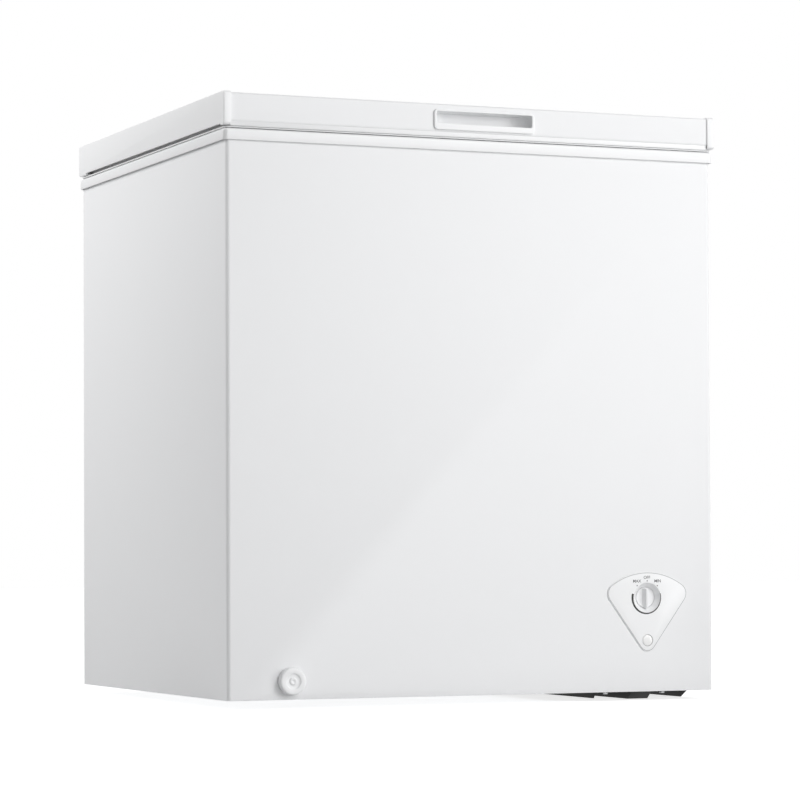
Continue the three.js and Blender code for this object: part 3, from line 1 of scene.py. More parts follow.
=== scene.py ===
"""Chest freezer of about 195 litres, put together in the order a maker would.

Metres, +Z up, +X to the freezer's right, +Y to its back, standing on the floor at Z 0.
"""
import math
import bmesh
import bpy
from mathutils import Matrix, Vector


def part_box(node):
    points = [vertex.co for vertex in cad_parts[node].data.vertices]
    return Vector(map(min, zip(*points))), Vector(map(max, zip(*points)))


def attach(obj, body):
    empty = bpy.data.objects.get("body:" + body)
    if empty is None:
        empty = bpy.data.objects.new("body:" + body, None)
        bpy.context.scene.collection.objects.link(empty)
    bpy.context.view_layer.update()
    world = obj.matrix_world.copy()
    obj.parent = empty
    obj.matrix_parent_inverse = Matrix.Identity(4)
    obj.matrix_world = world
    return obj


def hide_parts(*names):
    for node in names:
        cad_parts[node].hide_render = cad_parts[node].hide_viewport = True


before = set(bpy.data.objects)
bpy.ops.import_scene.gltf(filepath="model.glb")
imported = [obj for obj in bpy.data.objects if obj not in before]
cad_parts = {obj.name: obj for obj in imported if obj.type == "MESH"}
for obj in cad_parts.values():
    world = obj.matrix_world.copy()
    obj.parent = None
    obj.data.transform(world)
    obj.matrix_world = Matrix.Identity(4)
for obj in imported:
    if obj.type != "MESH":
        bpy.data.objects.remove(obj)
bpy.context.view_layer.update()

# ------------------------------------------------------------------------------- camera
# Stands low and far off, in front of the freezer's left corner, with a long lens, so that
# the lid's top isn't seen. The upright edges stay upright because the lens is shifted.
bpy.ops.object.camera_add(
    location=(-1.855, -4.3885, 0.213),
    rotation=(math.radians(91.51), math.radians(0.25), math.radians(-23.163)),
)
camera = bpy.context.object
camera.data.lens = 142.5
camera.data.sensor_width = 36
camera.data.shift_y = 0.0875
camera.data.clip_end = 100
bpy.context.scene.camera = camera

# ---------------------------------------------------------------------- floor and studio
# A wide pale floor and a pale room. Both are plain white to the eye, to gloss and through
# clear plastic, while what lights the paint is only a low, even grey.
bpy.context.scene.view_settings.view_transform = "Standard"
ROOM_LIGHT, FLOOR_GREY, FLOOR_GLOW = 0.28, 0.6, 0.78

world = bpy.data.worlds.new("studio")
bpy.context.scene.world = world
world.use_nodes = True
nodes, links = world.node_tree.nodes, world.node_tree.links
room = nodes["Background"]
room.inputs["Color"].default_value = (1, 1, 1, 1)
room.inputs["Strength"].default_value = ROOM_LIGHT
backdrop = nodes.new("ShaderNodeBackground")
backdrop.inputs["Color"].default_value = (1, 1, 1, 1)


def two_looks(nodes, links, lit, seen, end):
    """Shows one look to the eye, to gloss and through clear pieces, and lights with another."""
    path = nodes.new("ShaderNodeLightPath")
    total = path.outputs["Is Camera Ray"]
    for other in ("Is Glossy Ray", "Is Transmission Ray"):
        larger = nodes.new("ShaderNodeMath")
        larger.operation = "MAXIMUM"
        links.new(total, larger.inputs[0])
        links.new(path.outputs[other], larger.inputs[1])
        total = larger.outputs[0]
    either = nodes.new("ShaderNodeMixShader")
    links.new(total, either.inputs["Fac"])
    links.new(lit.outputs[0], either.inputs[1])
    links.new(seen.outputs[0], either.inputs[2])
    links.new(either.outputs[0], nodes[end].inputs["Surface"])


two_looks(nodes, links, room, backdrop, "World Output")

bpy.ops.object.select_all(action="DESELECT")
bpy.ops.mesh.primitive_plane_add(size=30)
floor = bpy.context.object
floor.name = "floor"
screed = bpy.data.materials.new("pale_floor")
screed.use_nodes = True
nodes, links = screed.node_tree.nodes, screed.node_tree.links
ground = nodes["Principled BSDF"]
ground.inputs["Base Color"].default_value = (FLOOR_GREY, FLOOR_GREY, FLOOR_GREY, 1)
ground.inputs["Roughness"].default_value = 0.9
glow = nodes.new("ShaderNodeEmission")
glow.inputs["Strength"].default_value = FLOOR_GLOW
both = nodes.new("ShaderNodeAddShader")
links.new(ground.outputs[0], both.inputs[0])
links.new(glow.outputs[0], both.inputs[1])
two_looks(nodes, links, ground, both, "Material Output")
floor.data.materials.append(screed)


def softbox(name, place, aim, width, power):
    """A plain square area lamp that faces a point."""
    turn = (Vector(aim) - Vector(place)).to_track_quat("-Z", "Y").to_euler()
    bpy.ops.object.light_add(type="AREA", location=place, rotation=turn)
    lamp = bpy.context.object
    lamp.name = name
    lamp.data.shape, lamp.data.size, lamp.data.energy = "SQUARE", width, power


FRONT, LEFT_SIDE = (0.1, -0.33, 0.5), (-0.38, 0.1, 0.5)
softbox("key_high_front", (1.6, -3.2, 3.0), FRONT, 1.6, 53)
softbox("key_low_right", (3.6, -3.6, 1.0), FRONT, 1.6, 52)
softbox("key_low_front", (1.2, -3.8, 1.3), FRONT, 1.6, 30)
softbox("fill_left_near", (-1.7, 0.9, 1.9), LEFT_SIDE, 0.8, 15)
softbox("fill_left_far", (-3.2, 1.6, 1.9), LEFT_SIDE, 1.6, 30)

# ------------------------------------------------------------------------- cabinet body
# One sheet of 1 mm steel, bent round four corners and enamelled white. The front is
# pierced for the thermostat, the lamp and the drain, and the back for the compressor.


def finish(name, colour, roughness, metallic=0.0, grain=0.003, relief=0.00001, mottle=0.03,
           patch=0.25, gloss_play=0.05, cells=False):
    """A finish with grain of a size and depth, and slow play of colour and gloss."""
    material = bpy.data.materials.new(name)
    material.use_nodes = True
    nodes, links = material.node_tree.nodes, material.node_tree.links
    shader = nodes["Principled BSDF"]
    shader.inputs["Metallic"].default_value = metallic
    place = nodes.new("ShaderNodeTexCoord").outputs["Object"]
    slow = nodes.new("ShaderNodeTexNoise")
    slow.inputs["Scale"].default_value = 1 / patch
    slow.inputs["Detail"].default_value = 3
    links.new(place, slow.inputs["Vector"])
    tint = nodes.new("ShaderNodeMix")
    tint.data_type = "RGBA"
    tint.inputs["A"].default_value = (*(c * (1 - mottle) for c in colour), 1)
    tint.inputs["B"].default_value = (*colour, 1)
    links.new(slow.outputs["Fac"], tint.inputs["Factor"])
    links.new(tint.outputs["Result"], shader.inputs["Base Color"])
    gloss = nodes.new("ShaderNodeMapRange")
    gloss.inputs["To Min"].default_value = max(0.02, roughness - gloss_play)
    gloss.inputs["To Max"].default_value = min(1.0, roughness + gloss_play)
    links.new(slow.outputs["Fac"], gloss.inputs["Value"])
    links.new(gloss.outputs["Result"], shader.inputs["Roughness"])
    if cells:
        fine = nodes.new("ShaderNodeTexVoronoi")
        height = fine.outputs["Distance"]
    else:
        fine = nodes.new("ShaderNodeTexNoise")
        fine.inputs["Detail"].default_value = 4
        height = fine.outputs["Fac"]
    fine.inputs["Scale"].default_value = 1 / grain
    links.new(place, fine.inputs["Vector"])
    bump = nodes.new("ShaderNodeBump")
    bump.inputs["Distance"].default_value = relief
    links.new(height, bump.inputs["Height"])
    links.new(bump.outputs["Normal"], shader.inputs["Normal"])
    return material


enamel = finish("white_enamel", (0.87, 0.875, 0.885), 0.58, relief=0.000012, mottle=0.02)
SHEET, CABINET_CORNER = 0.001, 0.006
shell_low, shell_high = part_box("cabinet_shell")


def nothing():
    """Leaves editing and selects no piece."""
    if bpy.context.mode != "OBJECT":
        bpy.ops.object.mode_set(mode="OBJECT")
    bpy.ops.object.select_all(action="DESELECT")


def editing():
    """Opens the active piece for editing."""
    bpy.ops.object.mode_set(mode="EDIT")


def settled():
    """Moves the active piece's place, turn and size into its mesh."""
    bpy.ops.object.transform_apply(location=True, rotation=True, scale=True)


def block(name, low, high):
    """A block between two corners, open for editing, with its place in its mesh."""
    nothing()
    low, high = Vector(low), Vector(high)
    bpy.ops.mesh.primitive_cube_add(size=1, location=(low + high) / 2)
    piece = bpy.context.object
    piece.name = name
    piece.scale = high - low
    settled()
    editing()
    return piece


cabinet = block("cabinet_body", shell_low, shell_high)
ALONG, LEVEL = 0.9, 0.999
NEAR, HAIR, EXACT, WELD = 0.001, 0.0001, 0.00001, 0.000002


def choose(test, kind="FACE"):
    """In edit mode, selects faces by middle and normal, edges by middle and run, or points."""
    bpy.ops.mesh.select_mode(type=kind)
    bpy.ops.mesh.select_all(action="DESELECT")
    mesh = bmesh.from_edit_mesh(bpy.context.object.data)
    mesh.normal_update()
    if kind == "FACE":
        for face in mesh.faces:
            face.select_set(bool(test(face.calc_center_median(), face.normal)))
    elif kind == "EDGE":
        for edge in mesh.edges:
            a, b = (v.co for v in edge.verts)
            if test((a + b) / 2, (b - a).normalized()):
                edge.select_set(True)
    else:
        for point in mesh.verts:
            point.select_set(bool(test(point.co)))
    mesh.select_flush_mode()
    bmesh.update_edit_mesh(bpy.context.object.data)


def upright(middle, way):
    """True for an edge that runs up, or a face that looks up or down."""
    return abs(way.z) > ALONG


def rounded(radius, steps, test):
    """Rounds the edges that the test finds."""
    choose(test, "EDGE")
    bpy.ops.mesh.bevel(offset=radius, segments=steps, affect="EDGES")


def opened(test):
    """Takes away the faces that the test finds."""
    choose(test)
    bpy.ops.mesh.delete(type="FACE")


rounded(CABINET_CORNER, 8, upright)
opened(upright)


def only(piece):
    """Leaves editing and selects one piece."""
    nothing()
    piece.select_set(True)
    bpy.context.view_layer.objects.active = piece


def modified(piece, kind, **settings):
    """Puts a modifier on a piece, with its settings, and applies it."""
    only(piece)
    bpy.ops.object.modifier_add(type=kind)
    job = piece.modifiers[-1]
    for setting, value in settings.items():
        setattr(job, setting, value)
    bpy.ops.object.modifier_apply(modifier=job.name)


def walled(piece, thickness, side=-1):
    """Gives an open skin its sheet thickness, inwards, or outwards with side 1."""
    modified(piece, "SOLIDIFY", thickness=thickness, offset=side, use_even_offset=True)


def softened(piece, radius, segments=2, angle=40):
    """Rounds every edge that turns sharply."""
    modified(
        piece, "BEVEL", width=radius, segments=segments, limit_method="ANGLE",
        angle_limit=math.radians(angle),
    )


walled(cabinet, SHEET)
softened(cabinet, 0.0004, angle=60)


def everything():
    """In edit mode, selects the whole mesh."""
    bpy.ops.mesh.select_all(action="SELECT")


def welded(reach=WELD):
    """Selects the whole mesh and merges the points that meet."""
    everything()
    bpy.ops.mesh.remove_doubles(threshold=reach)


def shaped(piece, tool, way="DIFFERENCE"):
    """Cuts a piece with another, or welds the other on, and takes the tool away."""
    modified(piece, "BOOLEAN", operation=way, solver="EXACT", object=tool)
    bpy.data.objects.remove(tool)
    editing()
    welded()
    only(piece)


def rod(name, start, end, radius, sides=48):
    """A round bar between two points."""
    start, end = Vector(start), Vector(end)
    nothing()
    turn = (end - start).to_track_quat("Z", "Y").to_euler()
    bpy.ops.mesh.primitive_cylinder_add(
        vertices=sides, radius=radius, depth=(end - start).length,
        location=(start + end) / 2, rotation=turn,
    )
    bpy.context.object.name = name
    settled()
    return bpy.context.object


def drilled(piece, start, end, radius):
    """Drills a round hole from one point to another."""
    shaped(piece, rod("drill", start, end, radius))


def span(node):
    """A node's two corners and its middle."""
    low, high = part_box(node)
    return low, high, (low + high) / 2


SPINDLE_RADIUS = 0.003
dial = span("control_knob")[2]
dial.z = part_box("thermostat_spindle")[0].z + SPINDLE_RADIUS
lens_middle = span("indicator_lens")[2]
cap_low, cap_high, drain = span("drain_cap")
front_y = shell_low.y
DIAL_HOLE, LAMP_HOLE, DRAIN_HOLE, THROUGH = 0.0233, 0.0112, 0.0093, 0.01
for hole, radius in ((dial, DIAL_HOLE), (lens_middle, LAMP_HOLE), (drain, DRAIN_HOLE)):
    drilled(cabinet, (hole.x, front_y - THROUGH, hole.z), (hole.x, front_y + THROUGH, hole.z), radius)
cover_low, cover_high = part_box("compressor_cover")
COVER_LAP = 0.01
opening = block(
    "opening",
    (cover_low.x + COVER_LAP, shell_high.y - THROUGH, cover_low.z + COVER_LAP),
    (cover_high.x - COVER_LAP, shell_high.y + THROUGH, cover_high.z - COVER_LAP),
)
rounded(0.008, 4, lambda c, run: abs(run.y) > ALONG)
shaped(cabinet, opening)


def fitted(piece, body, slot, finish, *nodes, angle=35):
    """Smooths a finished piece, gives it its finish and fixes it to its body."""
    only(piece)
    bpy.ops.object.shade_smooth_by_angle(angle=math.radians(angle))
    piece.data.materials.clear()
    piece.data.materials.append(finish)
    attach(piece, body)
    if nodes:
        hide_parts(*nodes)


fitted(cabinet, "cabinet", "white_steel", enamel, "cabinet_shell")

# --------------------------------------------------------------------- mouth and collar
# A white plastic collar, moulded in one with a gasket land, a ledge that the basket hangs
# on and a lip down inside the tub. It is pressed over the cabinet's top edge.
moulded_white = finish(
    "moulded_white", (0.88, 0.885, 0.893), 0.38, grain=0.0012, relief=0.000008, mottle=0.02
)

COLLAR_SKIRT, COLLAR_CORNER, COLLAR_ROUND, COLLAR_WALL = 0.016, 0.007, 0.0045, 0.0022
collar_low, collar_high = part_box("top_rim")
land = collar_high.z
collar = block("top_collar", (collar_low.x, collar_low.y, land - COLLAR_SKIRT), collar_high)
rounded(COLLAR_CORNER, 8, upright)
rounded(COLLAR_ROUND, 6, lambda c, run: c.z > land - HAIR)
opened(lambda c, n: abs(n.z) > LEVEL)


def pulled(*step):
    """Draws the chosen faces out by a step."""
    bpy.ops.mesh.extrude_region_move(TRANSFORM_OT_translate={"value": step})


def joined(piece, *others):
    """Makes other pieces part of one, which keeps its name."""
    only(piece)
    for other in others:
        other.select_set(True)
    bpy.ops.object.join()


LEDGE_WIDTH, LEDGE_DROP, MOUTH_CORNER, LIP_INSIDE = 0.016, 0.01, 0.031, 0.0037
tub_low, tub_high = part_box("inner_liner")
mouth_x, mouth_front, mouth_back = tub_high.x - LIP_INSIDE, tub_low.y + LIP_INSIDE, tub_high.y - LIP_INSIDE
mouth = block(
    "collar_mouth",
    (-mouth_x - LEDGE_WIDTH, mouth_front - LEDGE_WIDTH, land - LEDGE_DROP),
    (mouth_x + LEDGE_WIDTH, mouth_back + LEDGE_WIDTH, land),
)
rounded(MOUTH_CORNER, 8, upright)
opened(lambda c, n: n.z > ALONG)
choose(lambda c, n: n.z < -ALONG)
bpy.ops.mesh.inset(thickness=LEDGE_WIDTH)
pulled(0, 0, collar_low.z - land + LEDGE_DROP)
bpy.ops.mesh.delete(type="FACE")
joined(collar, mouth)
editing()
choose(lambda c, run: c.z > land - EXACT, "EDGE")
bpy.ops.mesh.fill(use_beauty=False)


def facing_out():
    """Turns all the faces of a mesh to look out of it."""
    everything()
    bpy.ops.mesh.normals_make_consistent(inside=False)


def outward(test, axis):
    """Turns an open skin's faces one way, so that the face found by the test looks along axis."""
    facing_out()
    mesh = bmesh.from_edit_mesh(bpy.context.object.data)
    found = next(f for f in mesh.faces if test(f.calc_center_median(), f.normal))
    if found.normal.dot(Vector(axis)) < 0:
        bpy.ops.mesh.flip_normals()


outward(lambda c, n: c.y < collar_low.y + HAIR and abs(n.y) > ALONG, (0, -1, 0))
walled(collar, COLLAR_WALL)
softened(collar, 0.0006)
fitted(collar, "cabinet", "white_plastic", moulded_white, "top_rim")

# ------------------------------------------------------------------------------- tub
# Embossed aluminium sheet, folded into a tub that is shallower over the compressor. Its
# corners are rounded, and refrigerant tube runs round the outside of it in the foam.
embossed = finish(
    "embossed_aluminium", (0.74, 0.75, 0.76), 0.34, metallic=0.85, grain=0.007, relief=0.00025,
    mottle=0.06, patch=0.08, cells=True,
)
STEP_FOAM, COMPARTMENT_WIDE, TUB_CORNER = 0.05, 0.2087, 0.018
pan_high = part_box("bottom_pan")[1]
step_floor = pan_high.z + STEP_FOAM
deep_side = pan_high.x - COMPARTMENT_WIDE - STEP_FOAM
tub = block(
    "tub",
    (tub_low.x + SHEET, tub_low.y + SHEET, step_floor),
    (tub_high.x - SHEET, tub_high.y - SHEET, tub_high.z),
)
everything()
bpy.ops.mesh.bisect(plane_co=(deep_side, 0, 0), plane_no=(1, 0, 0))
choose(lambda c, n: n.z < -ALONG and c.x < deep_side)
pulled(0, 0, tub_low.z + SHEET - step_floor)
everything()
bpy.ops.mesh.dissolve_limited(angle_limit=math.radians(1))
rounded(TUB_CORNER, 6, lambda c, run: c.z < tub_high.z - NEAR)
opened(lambda c, n: n.z > ALONG and c.z > tub_high.z - NEAR)
walled(tub, SHEET, side=1)
plug_low, plug_high, sump = span("liner_drain_plug")
SUMP_HOLE = 0.006
drilled(
    tub, (sump.x, sump.y, tub_low.z - THROUGH), (sump.x, sump.y, tub_low.z + THROUGH), SUMP_HOLE
)
fitted(tub, "cabinet", "liner", embossed, "inner_liner")

# ------------------------------------------------------------------------------- lid
# A sheet of enamelled steel, folded down at the front and the back, with its lower edges
# curled in under. It is foamed onto the inner panel, and moulded caps close its two ends.
LID_ROUND, LID_CURL, CURL_REACH = 0.004, 0.005, 0.0065
lid_low, lid_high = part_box("lid_shell")
lid = block("lid_sheet", lid_low, lid_high)
rounded(LID_ROUND, 8, lambda c, run: abs(run.x) > ALONG and c.z > lid_high.z - NEAR)
rounded(LID_CURL, 6, lambda c, run: abs(run.x) > ALONG and c.z < lid_low.z + NEAR)
for y in (lid_low.y + CURL_REACH, lid_high.y - CURL_REACH):
    everything()
    bpy.ops.mesh.bisect(plane_co=(0, y, 0), plane_no=(0, 1, 0))
middle_y = (lid_low.y + lid_high.y) / 2
opened(lambda c, n: abs(n.x) > ALONG or (n.z < -ALONG and abs(c.y - middle_y) < 0.1))
walled(lid, SHEET)
grip_low, grip_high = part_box("lid_handle")
pocket = block(
    "pocket",
    (grip_low.x + 0.002, lid_low.y - THROUGH, grip_low.z + 0.003),
    (grip_high.x - 0.002, lid_low.y + THROUGH, grip_high.z - 0.001),
)
shaped(lid, pocket)
fitted(lid, "lid", "white_steel", enamel, "lid_shell")

# --------------------------------------------------------------------------- lid's caps
# Two shallow white mouldings that slip over the ends of the lid's sheet. They stand a
# little proud of it all round, and are cut back underneath between the two corners.
CAP_CORNER, CAP_ROUND, CAP_WALL, CAP_DEEP = 0.0045, 0.0014, 0.0019, 0.0083


def lid_cap(name, side, node):
    """An end cap; side is -1 for the left and 1 for the right."""
    low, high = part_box(node)
    cap = block(name, low, high)
    outer = low.x if side < 0 else high.x
    rounded(CAP_CORNER, 6, lambda c, run: abs(run.x) > ALONG)
    rounded(CAP_ROUND, 4, lambda c, run: abs(c.x - outer) < HAIR)
    choose(lambda c, n: n.x * side < -ALONG)
    bpy.ops.mesh.inset(thickness=CAP_WALL)
    pulled(side * CAP_DEEP, 0, 0)
    notch = block(
        "notch", (low.x - THROUGH, low.y + 0.014, low.z - THROUGH),
        (high.x + THROUGH, high.y - 0.036, low.z + 0.0025),
    )
    rounded(0.002, 4, lambda c, run: abs(run.x) > ALONG and c.z > low.z)
    shaped(cap, notch)
    softened(cap, 0.0004, angle=60)
    fitted(cap, "lid", "white_plastic", moulded_white, node)


lid_cap("lid_cap_left", -1, "lid_end_cap_left")
lid_cap("lid_cap_right", 1, "lid_end_cap_right")

# --------------------------------------------------------------------------- finger grip
# One white moulding let into the lid's front: a pocket that the fingers reach into, with
# round back corners, and a proud frame round it that is widest below.
FRAME_SIDE, FRAME_TOP, FRAME_BOTTOM, POCKET_WALL = 0.004, 0.003, 0.009, 0.0015
FRAME_CORNER, FRAME_ROUND, MOUTH_ROUND = 0.0058, 0.0014, 0.0011
grip = block("finger_grip", grip_low, (grip_high.x, lid_low.y - 0.0003, grip_high.z))
rounded(FRAME_CORNER, 8, lambda c, run: abs(run.y) > ALONG)
rounded(FRAME_ROUND, 4, lambda c, run: abs(c.y - grip_low.y) < HAIR)
mouth_low = Vector((grip_low.x + FRAME_SIDE, grip_low.y - 0.004, grip_low.z + FRAME_BOTTOM))
mouth_high = Vector((grip_high.x - FRAME_SIDE, grip_high.y - POCKET_WALL, grip_high.z - FRAME_TOP))


def scoop(name, low, high, corner, edge):
    """The pocket's room: round back corners seen from above, and soft edges inside."""
    room = block(name, low, high)
    rounded(corner, 10, lambda c, run: abs(run.z) > ALONG and c.y > high.y - NEAR)
    rounded(edge, 4, lambda c, run: abs(run.y) > ALONG)
    return room


wall = Vector((POCKET_WALL,) * 3)
POCKET_CORNER, POCKET_EDGE = 0.022, 0.0022
pocket_low = (mouth_low.x - POCKET_WALL, grip_low.y + 0.0012, mouth_low.z - POCKET_WALL)
outside = scoop("pocket_outside", pocket_low, mouth_high + wall, POCKET_CORNER + POCKET_WALL, 0.003)
shaped(grip, outside, "UNION")
shaped(grip, scoop("pocket_inside", mouth_low, mouth_high, POCKET_CORNER, POCKET_EDGE))
editing()
EDGE_REACH = 0.0005
rounded(
    MOUTH_ROUND, 4,
    lambda c, run: abs(c.y - grip_low.y) < 2 * HAIR
    and mouth_low.x - EDGE_REACH < c.x < mouth_high.x + EDGE_REACH
    and mouth_low.z - EDGE_REACH < c.z < mouth_high.z + EDGE_REACH,
)
fitted(grip, "lid", "white_plastic", moulded_white, "lid_handle")

# ------------------------------------------------------------------- thermostat's panel
# A thin white moulding, a rounded triangle with its point down, stuck over holes in the
# cabinet's front. A coned dish in it holds the knob, and a hole at its foot the lamp's lens.
panel_low, panel_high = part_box("control_panel")
CORNER_RADIUS, FOOT_RADIUS, TOP_RADIUS, PANEL_ROUND = 0.016, 0.014, 0.1, 0.0007


def panel_outline(inset):
    """Points round the panel's edge, an inset inside it: foot, right, top and left arcs."""
    half = (panel_high.x - panel_low.x) / 2
    top_z = panel_high.z - TOP_RADIUS
    reach = half - CORNER_RADIUS
    corner_z = top_z + math.sqrt((TOP_RADIUS - CORNER_RADIUS) ** 2 - reach**2)
    foot_z = panel_low.z + FOOT_RADIUS
    edge = math.atan2(corner_z - top_z, reach)
    run = math.hypot(reach, corner_z - foot_z)
    lean = math.atan2(corner_z - foot_z, reach) - math.pi / 2
    lean -= math.asin((FOOT_RADIUS - CORNER_RADIUS) / run)
    arcs = (
        (0, foot_z, FOOT_RADIUS, math.pi - lean, 2 * math.pi + lean, 16),
        (reach, corner_z, CORNER_RADIUS, lean, edge, 16),
        (0, top_z, TOP_RADIUS, edge, math.pi - edge, 32),
        (-reach, corner_z, CORNER_RADIUS, math.pi - edge, math.pi - lean, 16),
    )
    points = []
    for x, z, radius, start, end, steps in arcs:
        for i in range(steps + 1):
            turn = start + (end - start) * i / steps
            points.append((
                dial.x + x + (radius - inset) * math.cos(turn), z + (radius - inset) * math.sin(turn)
            ))
    return points


def drawn(name, points, closed=True):
    """A line drawn through points by extruding one vertex, left open for editing."""
    nothing()
    bpy.ops.mesh.primitive_plane_add(size=0.01)
    piece = bpy.context.object
    piece.name = name
    editing()
    bpy.ops.mesh.select_mode(type="VERT")
    everything()
    bpy.ops.mesh.merge(type="CENTER")
    bpy.ops.transform.translate(value=points[0])
    for before, after in zip(points, points[1:]):
        step = Vector(after) - Vector(before)
        bpy.ops.mesh.extrude_vertices_move(TRANSFORM_OT_translate={"value": step})
    if closed:
        everything()
        bpy.ops.mesh.edge_face_add()
    return piece


def turned(name, centre, axis, profile, steps=48):
    """A half outline of (radius, distance along the axis) pairs, spun round its axis."""
    centre, axis = Vector(centre), Vector(axis)
    across = Vector((0, 1, 0)) if abs(axis.x) > ALONG else Vector((1, 0, 0))
    piece = drawn(name, [centre + across * r + axis * a for r, a in profile], closed=False)
    everything()
    bpy.ops.mesh.spin(steps=steps, angle=2 * math.pi, center=centre, axis=axis)
    welded()
    bpy.ops.mesh.normals_make_consistent(inside=False)
    only(piece)
    return piece


panel = drawn("thermostat_panel", [(x, panel_low.y, z) for x, z in panel_outline(0)])
panel_back = front_y - 0.0003
pulled(0, panel_back - panel_low.y, 0)
facing_out()
rounded(PANEL_ROUND, 3, lambda c, run: abs(c.y - panel_low.y) < EXACT)
face = (dial.x, panel_low.y, dial.z)
DISH_RADIUS, DISH_DEPTH, WELL_RADIUS, WELL_DEPTH = 0.021, 0.0073, 0.0152, 0.011
dish_back = panel_high.y - panel_low.y
shaped(panel, turned("dish_outside", face, (0, 1, 0), [
    (0, 0.0004), (DISH_RADIUS + 0.002, 0.0004), (DISH_RADIUS + 0.002, DISH_DEPTH),
    (WELL_RADIUS + 0.002, dish_back), (0, dish_back),
]), "UNION")
shaped(panel, turned("dish_inside", face, (0, 1, 0), [
    (0, -0.001), (DISH_RADIUS + 0.001, -0.001), (DISH_RADIUS, 0.0006), (WELL_RADIUS, DISH_DEPTH),
    (WELL_RADIUS, WELL_DEPTH), (0, WELL_DEPTH),
], steps=64))
SPINDLE_HOLE, LENS_HOLE = 0.0033, 0.0085
drilled(
    panel, (dial.x, 2 * THROUGH + panel_low.y, dial.z), (dial.x, panel_low.y + 0.001, dial.z), SPINDLE_HOLE
)
drilled(
    panel, (dial.x, panel_low.y - THROUGH, lens_middle.z),
    (dial.x, panel_low.y + THROUGH, lens_middle.z), LENS_HOLE,
)
fitted(panel, "cabinet", "white_plastic", moulded_white, "control_panel")

# ------------------------------------------------------------------------- panel's print
# Screen-printed in black and grey ink: a band that swells towards the coldest setting, three dots and the
# three words that a dial of this kind carries. A pale grey line just inside the panel's edge is painted
# shade, standing for the shade where the panel's edge meets the cabinet.


def flat_coat(name, colour, roughness=0.55):
    """Flat colour laid on the panel, printing ink and the painted edge shade, a little uneven."""
    return finish(name, colour, roughness, grain=0.0004, relief=0.000002, mottle=0.1, patch=0.004)


black_ink = flat_coat("black_ink", (0.006, 0.006, 0.006))
grey_ink = flat_coat("grey_ink", (0.09, 0.09, 0.095))
# This pale grey is painted shade for the line along the panel's edge, not ink.
edge_shade_grey = flat_coat("edge_shade_grey", (0.5, 0.505, 0.515))
LAYER_THICK = 0.00006
layer_y = panel_low.y - LAYER_THICK


def laid_on_panel(piece, colour):
    """Gives a flat layer of print or of painted shade its thickness and fixes it to the panel."""
    facing_out()
    walled(piece, LAYER_THICK, side=0)
    fitted(piece, "cabinet", None, colour)


# A pale grey ring painted just inside the panel's outline: painted shade for the dark line where the panel's
# edge meets the cabinet.
SHADE_LINE_OUTSIDE, SHADE_LINE_INSIDE, rings = 0.00075, 0.0017, []
for name, inset in (("painted_edge_shade", SHADE_LINE_OUTSIDE), ("painted_edge_shade_inner", SHADE_LINE_INSIDE)):
    line = panel_outline(inset)
    rings.append(drawn(name, [(x, layer_y, z) for x, z in line + line[:1]], closed=False))
edge_shade = rings[0]
joined(*rings)
editing()
welded()
bpy.ops.mesh.bridge_edge_loops()
laid_on_panel(edge_shade, edge_shade_grey)

BAND_RADIUS, BAND_RISE, BAND_LEFT = 0.0239, 0.006, 0.0018
BAND_THICK, BAND_THIN, BAND_SWELL = 0.0034, 0.0009, 1.15
start = math.pi - math.asin(BAND_RISE / BAND_RADIUS)
end = 2 * math.pi + math.asin(BAND_RISE / BAND_RADIUS)
STEPS = 60
outside, inside = [], []
for i in range(STEPS + 1):
    turn = start + (end - start) * i / STEPS
    width = BAND_THIN + (BAND_THICK - BAND_THIN) * (1 - i / STEPS) ** BAND_SWELL
    for line, radius in ((outside, BAND_RADIUS), (inside, BAND_RADIUS - width)):
        line.append((
            dial.x - BAND_LEFT + radius * math.cos(turn), layer_y, dial.z + radius * math.sin(turn)
        ))
band = drawn("print_band", outside + inside[::-1])
bpy.ops.mesh.quads_convert_to_tris()
laid_on_panel(band, black_ink)

DOT_RADIUS, LETTER_SIZE, LETTER_BOLD = 0.0009, 0.0061, 0.00006
for name, x, z in (("max", -0.0164, 0.0172), ("off", -0.0002, 0.024), ("min", 0.0163, 0.017)):
    nothing()
    bpy.ops.mesh.primitive_circle_add(
        vertices=20, radius=DOT_RADIUS, fill_type="NGON", rotation=(math.radians(90), 0, 0),
        location=(dial.x + x, layer_y, dial.z + z),
    )
    dot = bpy.context.object
    dot.name = "print_dot_" + name
    settled()
    editing()
    laid_on_panel(dot, grey_ink)

for word, x, z in (("MAX", -0.0167, 0.0236), ("OFF", -0.0006, 0.0288), ("MIN", 0.0167, 0.0236)):
    nothing()
    bpy.ops.object.text_add(rotation=(math.radians(90), 0, 0))
    text = bpy.context.object
    text.data.body, text.data.size, text.data.offset = word, LETTER_SIZE, LETTER_BOLD
    text.data.align_x = text.data.align_y = "CENTER"
    text.name = "print_word_" + word.lower()
    bpy.ops.object.convert(target="MESH")
    text = bpy.context.object
    text.location = (dial.x + x, layer_y, dial.z + z)
    settled()
    editing()
    welded(EXACT)
    laid_on_panel(text, grey_ink)

